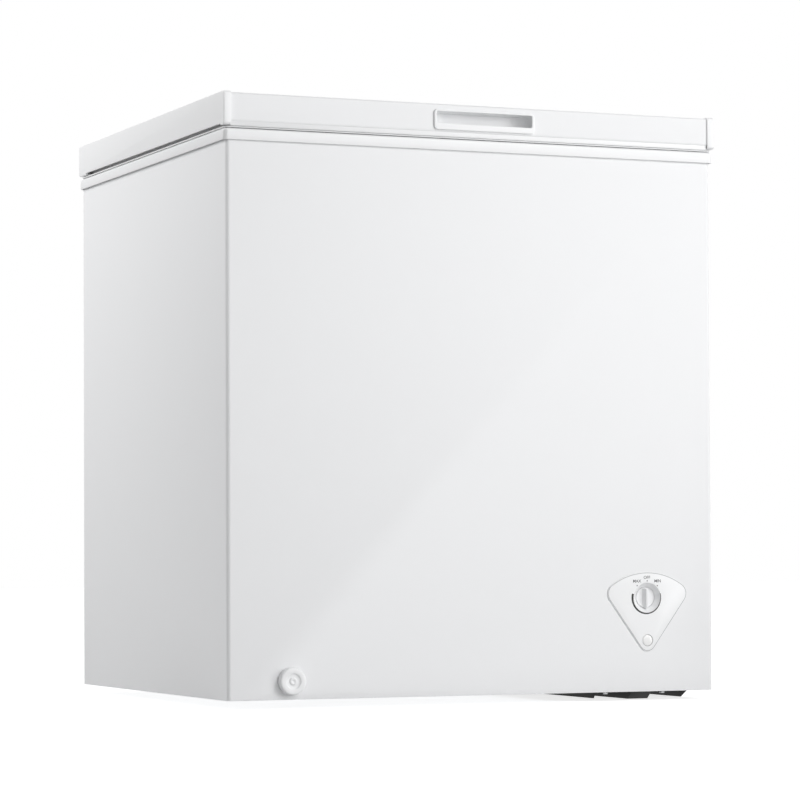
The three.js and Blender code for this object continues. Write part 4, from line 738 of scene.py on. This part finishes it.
# -------------------------------------------------------------------------- knob and lamp
# A grey-white moulded knob on the thermostat's steel spindle: a disc with a tapered grip
# across it, whose lower end runs out into a pointer. It stands at the middle setting.
knob_white = finish("knob_plastic", (0.80, 0.805, 0.815), 0.34, grain=0.0008, relief=0.000006, mottle=0.02)
KNOB_RADIUS = 0.0147
disc_front = panel_low.y + DISH_DEPTH
knob = turned("thermostat_knob", (dial.x, disc_front, dial.z), (0, 1, 0), [
    (0, 0), (KNOB_RADIUS - 0.0034, 0), (KNOB_RADIUS - 0.0024, -0.0001), (KNOB_RADIUS - 0.0014, -0.0006),
    (KNOB_RADIUS - 0.0005, -0.0005), (KNOB_RADIUS, 0.0002), (KNOB_RADIUS, 0.0034),
    (0, 0.0034),
], steps=64)
ridge = block(
    "ridge",
    (dial.x - 0.0052, disc_front - 0.0064, dial.z - KNOB_RADIUS - 0.0004),
    (dial.x + 0.0052, disc_front + 0.0012, dial.z + KNOB_RADIUS - 0.0008),
)
choose(lambda c, n: n.y < -ALONG)
bpy.ops.transform.resize(value=(0.3, 1, 0.9), center_override=(dial.x, disc_front, dial.z))
rounded(0.0012, 6, lambda c, run: abs(run.y) > 0.5)
rounded(0.0006, 4, lambda c, run: c.y < disc_front - 0.006)
shaped(knob, ridge, "UNION")
pointer = block(
    "pointer",
    (dial.x - 0.002, disc_front - 0.0048, dial.z - KNOB_RADIUS - 0.0016),
    (dial.x + 0.002, disc_front - 0.0012, dial.z - KNOB_RADIUS + 0.003),
)
rounded(0.0016, 6, lambda c, run: abs(run.y) > ALONG and c.z < dial.z - KNOB_RADIUS)
shaped(knob, pointer, "UNION")
softened(knob, 0.00025, angle=50)
fitted(knob, "knob", "knob_plastic", knob_white, "control_knob")


def clothed(node, material):
    """Gives a CAD node that stays in view its finish."""
    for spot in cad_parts[node].material_slots:
        spot.material = material


zinc = finish("bright_zinc", (0.62, 0.63, 0.64), 0.28, metallic=1.0, grain=0.002, relief=0.00001,
              mottle=0.15, patch=0.02, gloss_play=0.08)
clothed("thermostat_spindle", zinc)

# The lamp's lens is a low dome of clouded clear plastic, snapped into the panel's foot.
clouded = finish("clouded_lens", (0.88, 0.88, 0.875), 0.2, grain=0.001, relief=0.000003, mottle=0.03)
clouded.node_tree.nodes["Principled BSDF"].inputs["Coat Weight"].default_value = 0.4
lens = turned("lamp_lens", (dial.x, panel_low.y, lens_middle.z), (0, 1, 0), [
    (0, -0.0006), (0.003, -0.0005), (0.0055, -0.0003), (0.0072, 0.0000), (0.0079, 0.0004),
    (0.0081, 0.001), (0.0081, 0.0078), (0, 0.0078),
])
fitted(lens, "cabinet", "lens", clouded, "indicator_lens")

# --------------------------------------------------------------------------- drain's cap
# A round white push-on cap over the end of the drain pipe, with moulded rings on its face
# and a dimple at the middle. It pulls straight off.
cap_face = (drain.x, cap_low.y, drain.z)
drain_cap = turned("drain_cap_front", cap_face, (0, 1, 0), [
    (0, 0.0016), (0.0013, 0.0015), (0.0021, 0.0006), (0.0028, 0.0002), (0.0044, 0.0002),
    (0.0052, 0.0007), (0.0056, 0.0016), (0.0098, 0.0017), (0.0104, 0.0012), (0.0109, 0.0003),
    (0.0116, 0.0), (0.0162, 0.0), (0.0176, 0.0003), (0.0186, 0.0012), (0.019, 0.0026),
    (0.019, 0.0096), (0.0187, 0.0103), (0.018, 0.0104), (0.0152, 0.0104), (0.015, 0.0074),
    (0.0058, 0.0072), (0.0055, 0.0186), (0, 0.019),
], steps=72)
fitted(drain_cap, "drain_cap", "white_plastic", moulded_white, "drain_cap", angle=50)

# ------------------------------------------------------------------- compressor's base
# Pressed from 2 mm steel and painted black: a deck under the compressor, a hollow runner
# down its middle and two turned-down sides. Their front ends slope.
black_paint = finish("black_paint", (0.006, 0.006, 0.0065), 0.5, grain=0.002, relief=0.00002,
                     mottle=0.3, patch=0.05)
black_paint.node_tree.nodes["Principled BSDF"].inputs["Specular IOR Level"].default_value = 0.3


def copied(node, name):
    """A copy of a CAD node, its loose triangles merged into whole faces, ready to finish."""
    nothing()
    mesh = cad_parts[node].data.copy()
    piece = bpy.data.objects.new(name, mesh)
    bpy.context.scene.collection.objects.link(piece)
    only(piece)
    editing()
    welded()
    bpy.ops.mesh.dissolve_limited(angle_limit=math.radians(0.5))
    only(piece)
    return piece


base = copied("compressor_base_plate", "base_plate")
softened(base, 0.0005)
fitted(base, "cabinet", "black_steel", black_paint, "compressor_base_plate")


# The two screws that hold the deck up to the cabinet have hexagon heads with a flange.
for side in ("left", "right"):
    low, high, (x, y, z) = span("base_plate_screw_" + side)
    screw = turned("base_screw_" + side, (x, y, low.z), (0, 0, 1), [
        (0, 0.0009), (0.0012, 0.0008), (0.0026, 0.0001), (0.003, 0), (0.003, 0.0029), (0.0045, 0.0032),
        (0.0045, 0.0041), (0.0025, 0.0043), (0.0025, 0.0075), (0, 0.008),
    ], steps=24)
    head = block("head", (x - 0.0038, y - 0.0033, low.z + 0.0002), (x + 0.0038, y + 0.0033, low.z + 0.0031))
    rounded(0.0019, 1, upright)
    softened(head, 0.0002, angle=25)
    shaped(screw, head, "UNION")
    fitted(screw, "cabinet", "zinc", zinc, "base_plate_screw_" + side)

# -------------------------------------------------------------------------------- feet
# Two white feet on the side away from the compressor, moulded with a tread ring.
for where in ("front", "rear"):
    node = f"foot_{where}_left"
    x, y, z = span(node)[2]
    foot = turned("foot_" + where, (x, y, 0), (0, 0, 1), [
        (0, 0.0012), (0.009, 0.0012), (0.0098, 0), (0.0175, 0), (0.019, 0.0006), (0.0197, 0.002),
        (0.02, 0.006), (0.0192, 0.0072), (0.0165, 0.0078), (0.0165, 0.0127), (0, 0.0127),
    ])
    fitted(foot, "cabinet", "white_plastic", moulded_white, node)

# ------------------------------------------------------------- what the cabinet is made of
# Poured polyurethane foam fills the walls, a galvanised pan closes the floor and boxes in
# the compressor, and copper tube is laid in the foam against the shell and the tub.
foamed = finish("poured_foam", (0.78, 0.68, 0.42), 0.9, grain=0.0025, relief=0.0006, mottle=0.25,
                patch=0.03, cells=True)
galvanised = finish("galvanised_steel", (0.56, 0.58, 0.6), 0.36, metallic=0.9, grain=0.012,
                    relief=0.00002, mottle=0.25, patch=0.015, gloss_play=0.12, cells=True)
copper = finish("copper_tube", (0.72, 0.33, 0.19), 0.32, metallic=1.0, grain=0.004, relief=0.00003,
                mottle=0.35, patch=0.03, gloss_play=0.1)
moulded_black = finish("moulded_black", (0.014, 0.014, 0.015), 0.5, grain=0.0008, relief=0.00003,
                       mottle=0.15)
for node in ("cabinet_foam", "lid_foam"):
    clothed(node, foamed)
for node in ("condenser_coil", "evaporator_coil"):
    clothed(node, copper)
clothed("drain_spout", moulded_white)
clothed("thermostat_body", galvanised)
clothed("indicator_lamp", moulded_black)
pan = copied("bottom_pan", "floor_pan")
fitted(pan, "cabinet", "galvanised", galvanised, "bottom_pan")

# -------------------------------------------------------------------------- compressor
# A welded steel can, drawn in two halves that meet in a belt seam, painted black. It hangs
# on a bracket over four rubber grommets, with a black cover over its terminals.
low, high, (x, y, z) = span("compressor_housing")
radius, tall = (high.x - low.x) / 2, high.z - low.z
can = turned("compressor_can", (x, y, low.z), (0, 0, 1), [
    (0, 0), (0.5 * radius, 0.0), (0.72 * radius, 0.012 * tall), (0.86 * radius, 0.045 * tall),
    (0.94 * radius, 0.1 * tall), (0.965 * radius, 0.16 * tall), (0.97 * radius, 0.45 * tall),
    (0.985 * radius, 0.452 * tall), (radius, 0.46 * tall), (radius, 0.505 * tall),
    (0.985 * radius, 0.513 * tall), (0.97 * radius, 0.517 * tall), (0.97 * radius, 0.76 * tall),
    (0.95 * radius, 0.82 * tall), (0.88 * radius, 0.88 * tall), (0.76 * radius, 0.93 * tall),
    (0.58 * radius, 0.965 * tall), (0.35 * radius, 0.99 * tall), (0, tall),
], steps=64)
fitted(can, "cabinet", "black_steel", black_paint, "compressor_housing")
bracket = copied("compressor_bracket", "compressor_bracket_plate")
softened(bracket, 0.0006)
fitted(bracket, "cabinet", "black_steel", black_paint, "compressor_bracket")
terminals = copied("compressor_terminal_cover", "terminal_cover")
softened(terminals, 0.003, segments=4)
fitted(terminals, "cabinet", "black_plastic", moulded_black, "compressor_terminal_cover")
rubber = finish("grommet_rubber", (0.02, 0.02, 0.02), 0.75, grain=0.0006, relief=0.00004, mottle=0.2)
for where in ("front_left", "front_right", "rear_left", "rear_right"):
    low, high, (x, y, z) = span("grommet_" + where)
    tall = high.z - low.z
    grommet = turned("rubber_" + where, (x, y, low.z), (0, 0, 1), [
        (0, 0), (0.0112, 0), (0.0119, 0.0007), (0.0119, 0.28 * tall), (0.0112, 0.34 * tall),
        (0.0088, 0.36 * tall), (0.0088, 0.62 * tall), (0.0108, 0.64 * tall), (0.0114, 0.7 * tall),
        (0.0106, tall - 0.0006), (0.0098, tall), (0, tall),
    ], steps=32)
    fitted(grommet, "cabinet", "grommet_rubber", rubber, "grommet_" + where)

# ---------------------------------------------------------------------- refrigerant tubes
# Copper tube, bent round a former and brazed: discharge and suction lines, the filter drier
# with its spun ends, and the thin capillary that leaves it.


def bent(points, radius, steps=6):
    """A route with each corner rounded to a bend radius."""
    points = [Vector(p) for p in points]
    route = [points[0]]
    for before, corner, after in zip(points, points[1:], points[2:]):
        one, two = (before - corner).normalized(), (after - corner).normalized()
        half = one.angle(two) / 2
        reach = radius / math.tan(half)
        middle = corner + (one + two).normalized() * (radius / math.sin(half))
        start, finish_at = corner + one * reach - middle, corner + two * reach - middle
        turn = start.angle(finish_at)
        axis = start.cross(finish_at).normalized()
        for i in range(steps + 1):
            share = i / steps
            arm = (start * math.sin((1 - share) * turn) + finish_at * math.sin(share * turn)) / math.sin(turn)
            route.append(middle + arm)
    route.append(points[-1])
    return route


def drawn_wire(name, route, radius, round_steps=3, ring=False):
    """Round wire or tube along a route, with closed ends, or joined end to end in a ring."""
    wire = drawn(name, route + ([route[0]] if ring else []), closed=False)
    welded(EXACT)
    only(wire)
    bpy.ops.object.convert(target="CURVE")
    wire = bpy.context.object
    wire.data.bevel_depth, wire.data.bevel_resolution = radius, round_steps
    wire.data.use_fill_caps = True
    bpy.ops.object.convert(target="MESH")
    wire = bpy.context.object
    editing()
    welded(0.000005)
    bpy.ops.mesh.normals_make_consistent(inside=False)
    only(wire)
    return wire


TUBE = 0.003
low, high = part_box("discharge_tube")
discharge = drawn_wire("discharge_line", bent([
    (low.x, low.y + TUBE, low.z + TUBE), (high.x - TUBE, low.y + TUBE, low.z + TUBE),
    (high.x - TUBE, high.y - TUBE, low.z + TUBE), (high.x - TUBE, high.y - TUBE, high.z),
], 0.014), TUBE)
fitted(discharge, "cabinet", "copper", copper, "discharge_tube")
low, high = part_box("suction_tube")
suction = drawn_wire("suction_line", bent([
    (low.x + TUBE, low.y, low.z + TUBE), (low.x + TUBE, high.y - TUBE, low.z + TUBE),
    (low.x + TUBE, high.y - TUBE, high.z),
], 0.014), TUBE)
fitted(suction, "cabinet", "copper", copper, "suction_tube")
low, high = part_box("filter_drier")
drier_x, drier_y, top = (low.x + high.x) / 2, low.y + 0.009, low.z + 0.1
drier = turned("filter_drier_body", (drier_x, drier_y, low.z), (0, 0, 1), [
    (0, 0), (0.0022, 0), (0.003, 0.003), (0.0055, 0.008), (0.008, 0.0115), (0.009, 0.0145),
    (0.009, 0.0855), (0.0082, 0.0885), (0.0062, 0.092), (0.0045, 0.097), (0.004, 0.1), (0, 0.1),
], steps=36)
inlet = drawn_wire("drier_inlet", bent([
    (drier_x, high.y - TUBE, high.z), (drier_x, high.y - TUBE, top + 0.025),
    (drier_x, drier_y, top + 0.025), (drier_x, drier_y, top - 0.005),
], 0.008), TUBE)
joined(drier, inlet)
fitted(drier, "cabinet", "copper", copper, "filter_drier")
CAPILLARY = 0.0015
low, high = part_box("capillary_tube")
thin = drawn_wire("capillary", bent([
    (high.x - CAPILLARY, high.y - CAPILLARY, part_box("filter_drier")[0].z - 0.0003),
    (high.x - CAPILLARY, high.y - CAPILLARY, low.z + CAPILLARY),
    (high.x - CAPILLARY, low.y + CAPILLARY, low.z + CAPILLARY),
    (low.x + CAPILLARY, low.y + CAPILLARY, low.z + CAPILLARY),
    (low.x + CAPILLARY, low.y + CAPILLARY, high.z),
], 0.006), CAPILLARY)
fitted(thin, "cabinet", "copper", copper, "capillary_tube")

# --------------------------------------------------------------- cover over the compressor
# A galvanised sheet screwed over the opening in the back, with nine pressed louvres, and a
# black gland where a mains lead enters.
cover = copied("compressor_cover", "rear_cover")
SLOTS, FIRST_SLOT, SLOT_PITCH, SLOT_TALL, SLOT_HALF = 9, 0.07, 0.015, 0.005, 0.065
cover_x = span("compressor_cover")[2].x
for i in range(SLOTS):
    z = cover_low.z + FIRST_SLOT + i * SLOT_PITCH + SLOT_TALL
    hood = block(
        "hood", (cover_x - SLOT_HALF, cover_high.y - 0.0004, z - 0.0035),
        (cover_x + SLOT_HALF, cover_high.y + 0.0036, z + 0.005),
    )
    choose(lambda c, run: abs(run.x) > ALONG and c.z > z and c.y > cover_high.y, "EDGE")
    bpy.ops.transform.translate(value=(0, -0.0038, 0))
    choose(lambda c, n: n.z < -ALONG)
    bpy.ops.mesh.inset(thickness=0.0008)
    pulled(0, -0.0001, 0.003)
    bpy.ops.transform.resize(value=(1, 0.4, 1), center_override=(cover_x, cover_high.y, z))
    softened(hood, 0.0003, angle=30)
    joined(cover, hood)
softened(cover, 0.0002, angle=60)
fitted(cover, "cabinet", "galvanised", galvanised, "compressor_cover")

low, high, (x, y, z) = span("cord_gland")
gland = turned("lead_gland", (x, low.y, z), (0, 1, 0), [
    (0.0035, 0), (0.0066, 0), (0.007, 0.0006), (0.007, 0.0090), (0.011, 0.0096), (0.011, 0.0135),
    (0.0102, 0.0146), (0.0092, 0.0148), (0.0092, 0.0165), (0.0084, 0.0168), (0.0084, 0.0182),
    (0.0074, 0.0196), (0.0052, 0.02), (0.0042, 0.0192), (0.0035, 0.018), (0.0035, 0),
], steps=40)
fitted(gland, "cabinet", "black_plastic", moulded_black, "cord_gland")


def cross_screw(name, node):
    """A pan-head screw seen along Y, with a cross recess."""
    low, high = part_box(node)
    x, z = (low.x + high.x) / 2, (low.z + high.z) / 2
    screw = turned(name, (x, low.y, z), (0, 1, 0), [
        (0, -0.004), (0.0016, -0.004), (0.0016, 0), (0.0044, 0), (0.0045, 0.0006), (0.0041, 0.0014),
        (0.0033, 0.0021), (0.002, 0.0025), (0, 0.0026),
    ], steps=28)
    for wide, tall in ((0.0024, 0.0005), (0.0005, 0.0024)):
        slot = block("slot", (x - wide, low.y + 0.0012, z - tall), (x + wide, low.y + 0.004, z + tall))
        choose(lambda c, n: n.y < -ALONG)
        bpy.ops.transform.resize(value=(0.45, 1, 0.45), center_override=(x, low.y + 0.0012, z))
        shaped(screw, slot)
    fitted(screw, "cabinet", "zinc", zinc, node)


for where in ("lower_left", "lower_right", "upper_left", "upper_right"):
    cross_screw("rear_cover_screw_" + where, "cover_screw_" + where)

# -------------------------------------------------------------------- lid's inner panel
# White sheet, drawn over a mould: a skirt inside the steel, a groove for the gasket, and a
# raised middle that reaches down into the tub.
inner_low, inner_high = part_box("lid_inner_panel")
gasket_low, gasket_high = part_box("lid_gasket")
RIM_LEVEL, LINER_WALL = 0.799, 0.002
liner_panel = block(
    "lid_liner", (inner_low.x, inner_low.y, RIM_LEVEL), (inner_high.x, inner_high.y, inner_high.z)
)
opened(lambda c, n: n.z > ALONG)
choose(lambda c, n: n.z < -ALONG)
SEAL_CLEAR, SEAL_WIDE, PLUG_CLEAR = 0.0003, 0.014, 0.012
seal_box = (gasket_high.x + SEAL_CLEAR, gasket_low.y - SEAL_CLEAR, gasket_high.y + SEAL_CLEAR)
seal_level = gasket_high.z + SEAL_CLEAR
plug_box = (mouth_x - PLUG_CLEAR, mouth_front + PLUG_CLEAR, mouth_back - PLUG_CLEAR)
reach = (inner_high.x, inner_low.y, inner_high.y, RIM_LEVEL)
for (half_wide, front, back), inset, level in (
    (seal_box, 0, RIM_LEVEL),
    (seal_box, 0.0002, seal_level),
    (seal_box, SEAL_WIDE + 0.0004, seal_level),
    (seal_box, SEAL_WIDE + 0.0006, RIM_LEVEL),
    (plug_box, 0, RIM_LEVEL),
    (plug_box, 0.0006, inner_low.z),
):
    half_wide, front, back = half_wide - inset, front + inset, back - inset
    middle = (front + back) / 2
    pulled(0, middle - (reach[1] + reach[2]) / 2, level - reach[3])
    bpy.ops.transform.resize(
        value=(half_wide / reach[0], (back - front) / (reach[2] - reach[1]), 1),
        center_override=(0, middle, level),
    )
    reach = (half_wide, front, back, level)
rounded(0.007, 6, lambda c, run: abs(run.z) > ALONG and RIM_LEVEL - 0.02 < c.z < RIM_LEVEL - 0.005)
rounded(0.0055, 5, lambda c, run: c.z < inner_low.z + HAIR)
outward(lambda c, n: c.z < inner_low.z + HAIR and abs(n.z) > ALONG, (0, 0, -1))
walled(liner_panel, LINER_WALL)
softened(liner_panel, 0.0007, angle=50)
fitted(liner_panel, "lid", "white_plastic", moulded_white, "lid_inner_panel")

# ----------------------------------------------------------------------------- gasket
# Soft grey-white extrusion with a magnet in its foot, mitred and welded at the corners and
# pleated so that it can follow the collar.
soft_vinyl = finish("gasket_vinyl", (0.82, 0.825, 0.83), 0.55, grain=0.001, relief=0.00002, mottle=0.05)
gasket = block("lid_seal", gasket_low, gasket_high)
choose(upright)
bpy.ops.mesh.inset(thickness=SEAL_WIDE)
bpy.ops.mesh.bridge_edge_loops()
PLEATS, PLEAT_DEEP = (0.0036, 0.0048, 0.006, 0.0072, 0.0084), 0.0016
for level in PLEATS:
    everything()
    bpy.ops.mesh.bisect(plane_co=(0, 0, gasket_low.z + level), plane_no=(0, 0, 1))
seal_y = (gasket_low.y + gasket_high.y) / 2
half_x, half_y = (gasket_high.x - gasket_low.x) / 2, (gasket_high.y - gasket_low.y) / 2
for level in PLEATS[0::2]:
    for outer in (True, False):
        edge = 0 if outer else SEAL_WIDE
        choose(
            lambda p: abs(p.z - gasket_low.z - level) < HAIR
            and (abs(abs(p.x) - half_x + edge) < 0.001 or abs(abs(p.y - seal_y) - half_y + edge) < 0.001),
            "VERT",
        )
        shift = -PLEAT_DEEP if outer else PLEAT_DEEP
        bpy.ops.transform.resize(
            value=(1 + shift / (half_x - edge), 1 + shift / (half_y - edge), 1),
            center_override=(0, seal_y, gasket_low.z + level),
        )
softened(gasket, 0.0003, angle=50)
FIN_RISE, FIN_REACH = 0.0009, 0.0128
fin = block(
    "fin",
    (gasket_low.x - FIN_REACH, gasket_low.y - FIN_REACH, land + FIN_RISE),
    (gasket_high.x + FIN_REACH, gasket_high.y + FIN_REACH, RIM_LEVEL - 0.0003),
)
choose(upright)
bpy.ops.mesh.inset(thickness=FIN_REACH + 0.0005)
bpy.ops.mesh.bridge_edge_loops()
rounded(0.006, 4, lambda c, run: abs(run.z) > ALONG and abs(c.x) > gasket_high.x + NEAR)
softened(fin, 0.0004, angle=50)
joined(gasket, fin)
fitted(gasket, "lid", "gasket", soft_vinyl, "lid_gasket")

# ------------------------------------------------------------------------------ hinges
# Each has a pressed bracket on the cabinet's back, an arm under the lid, a steel pin with
# rounded ends and a coil spring that holds the lid up. Bright zinc plate throughout.
for side in ("left", "right"):
    bracket = copied("hinge_base_" + side, f"hinge_{side}_bracket")
    softened(bracket, 0.0009, segments=3)
    fitted(bracket, "cabinet", "zinc", zinc, "hinge_base_" + side)
    arm = copied("hinge_arm_" + side, f"hinge_{side}_arm")
    softened(arm, 0.0007, segments=3)
    fitted(arm, "lid", "zinc", zinc, "hinge_arm_" + side)
    low, high, (x, y, z) = span("hinge_pin_" + side)
    long = high.x - low.x
    pin = turned(f"hinge_{side}_pin", (low.x, y, z), (1, 0, 0), [
        (0, 0.0), (0.0018, 0.0002), (0.003, 0.0008), (0.0035, 0.0016), (0.0035, long - 0.0016),
        (0.003, long - 0.0008), (0.0018, long - 0.0002), (0, long),
    ], steps=32)
    fitted(pin, "cabinet", "zinc", zinc, "hinge_pin_" + side)
    low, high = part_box("hinge_spring_" + side)
    TURNS, AROUND, SPRING_WIRE, SPRING_RADIUS = 5, 14, 0.00105, 0.0052
    coil = []
    for i in range(TURNS * AROUND + 1):
        turn = 2 * math.pi * i / AROUND
        x = low.x + SPRING_WIRE + (high.x - low.x - 2 * SPRING_WIRE) * i / (TURNS * AROUND)
        coil.append((x, y + SPRING_RADIUS * math.cos(turn), z + SPRING_RADIUS * math.sin(turn)))
    spring = drawn_wire(f"hinge_{side}_spring", coil, SPRING_WIRE, round_steps=2)
    fitted(spring, "cabinet", "zinc", zinc, "hinge_spring_" + side, angle=50)
    for where in ("upper", "lower"):
        cross_screw(f"hinge_{side}_screw_{where}", f"hinge_screw_{side}_{where}")

# ------------------------------------------------------------------------- drain's plug
# A white stopper in the tub's floor, with a raised ring to lift it by and a tapered stem.
plug = turned("tub_plug", (sump.x, sump.y, plug_low.z), (0, 0, 1), [
    (0, 0), (0.0045, 0), (0.0055, 0.0008), (0.0055, 0.0086), (0.0158, 0.0084), (0.016, 0.0096),
    (0.0152, 0.0112), (0.0128, 0.0122), (0.0088, 0.0122), (0.0078, 0.0116), (0.0072, 0.0102),
    (0.004, 0.01), (0.0032, 0.0106), (0.0028, 0.0127), (0, 0.0129),
])
fitted(plug, "drain_plug", "white_plastic", moulded_white, "liner_drain_plug")

# ------------------------------------------------------------------------------ basket
# Steel wire, welded and dipped in white plastic: two frames joined by bent cross wires,
# with a loop of the heavier wire at each end that hooks over the collar's ledge.
dipped = finish("dipped_wire", (0.86, 0.865, 0.87), 0.32, grain=0.002, relief=0.00004, mottle=0.05,
                patch=0.01)
basket_low, basket_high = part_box("wire_basket")
FRAME_WIRE, CROSS_WIRE = 0.0025, 0.0014
HOOK_RISE, TRAY_CLEAR = 0.0213, 0.004
tray_top = basket_high.z - HOOK_RISE
tray_front, tray_back = mouth_front + TRAY_CLEAR, mouth_back - TRAY_CLEAR


def frame_loop(name, z, radius, inset):
    """One of the basket's frames: a round-cornered ring of wire."""
    x0, x1 = basket_low.x + radius + inset, basket_high.x - radius - inset
    y0, y1 = tray_front + radius + inset, tray_back - radius - inset
    x = (x0 + x1) / 2
    route = bent([(x, y0, z), (x1, y0, z), (x1, y1, z), (x0, y1, z), (x0, y0, z), (x, y0, z)], 0.018)
    return drawn_wire(name, route[:-1], radius, round_steps=2, ring=True)


basket = frame_loop("hanging_basket", tray_top - FRAME_WIRE, FRAME_WIRE, 0)
parts = [
    frame_loop("frame_low", basket_low.z + 0.045, CROSS_WIRE, 0.0005),
    frame_loop("frame_middle", basket_low.z + 0.12, CROSS_WIRE, 0.0005),
]
WIRE_INSET, WIRE_BEND, WIRE_DROP, ROW_MARGIN = 0.0045, 0.014, 0.002, 0.03
x0, x1 = basket_low.x + WIRE_INSET, basket_high.x - WIRE_INSET
y0, y1 = tray_front + WIRE_INSET, tray_back - WIRE_INSET
bottom = basket_low.z + CROSS_WIRE


def wire_row(name, near, far, first, last, pitch, level, place):
    """Wires bent down, across and up, in a row; place takes (across, along the row, height)."""
    count = int((last - first - ROW_MARGIN) / pitch)
    start = (first + last - count * pitch) / 2
    row = drawn_wire(name, bent([
        place(near, start, tray_top - WIRE_DROP), place(near, start, level),
        place(far, start, level), place(far, start, tray_top - WIRE_DROP),
    ], WIRE_BEND, steps=4), CROSS_WIRE, round_steps=1)
    editing()
    everything()
    for i in range(count):
        bpy.ops.mesh.duplicate_move(TRANSFORM_OT_translate={"value": place(0, pitch, 0)})
    only(row)
    return row


CROSS_PITCH, LONG_PITCH = 0.021, 0.024
parts.append(wire_row("cross", x0, x1, y0, y1, CROSS_PITCH, bottom, lambda a, b, z: (a, b, z)))
parts.append(wire_row(
    "long", y0, y1, x0, x1, LONG_PITCH, bottom + 2 * CROSS_WIRE, lambda a, b, z: (b, a, z)
))
hook_z = basket_high.z - FRAME_WIRE
middle = (basket_low.x + basket_high.x) / 2
HOOK_HALF = 0.0575
for y_post, y_hook in (
    (tray_front + FRAME_WIRE, mouth_front - 0.0095), (tray_back - FRAME_WIRE, mouth_back + 0.0095)
):
    parts.append(drawn_wire("hook", bent([
        (middle - HOOK_HALF, y_post, tray_top - 0.03), (middle - HOOK_HALF, y_post, hook_z),
        (middle - HOOK_HALF, y_hook, hook_z), (middle + HOOK_HALF, y_hook, hook_z),
        (middle + HOOK_HALF, y_post, hook_z), (middle + HOOK_HALF, y_post, tray_top - 0.03),
    ], 0.004, steps=4), FRAME_WIRE, round_steps=2))
joined(basket, *parts)
fitted(basket, "basket", "basket_wire", dipped, "wire_basket", angle=50)
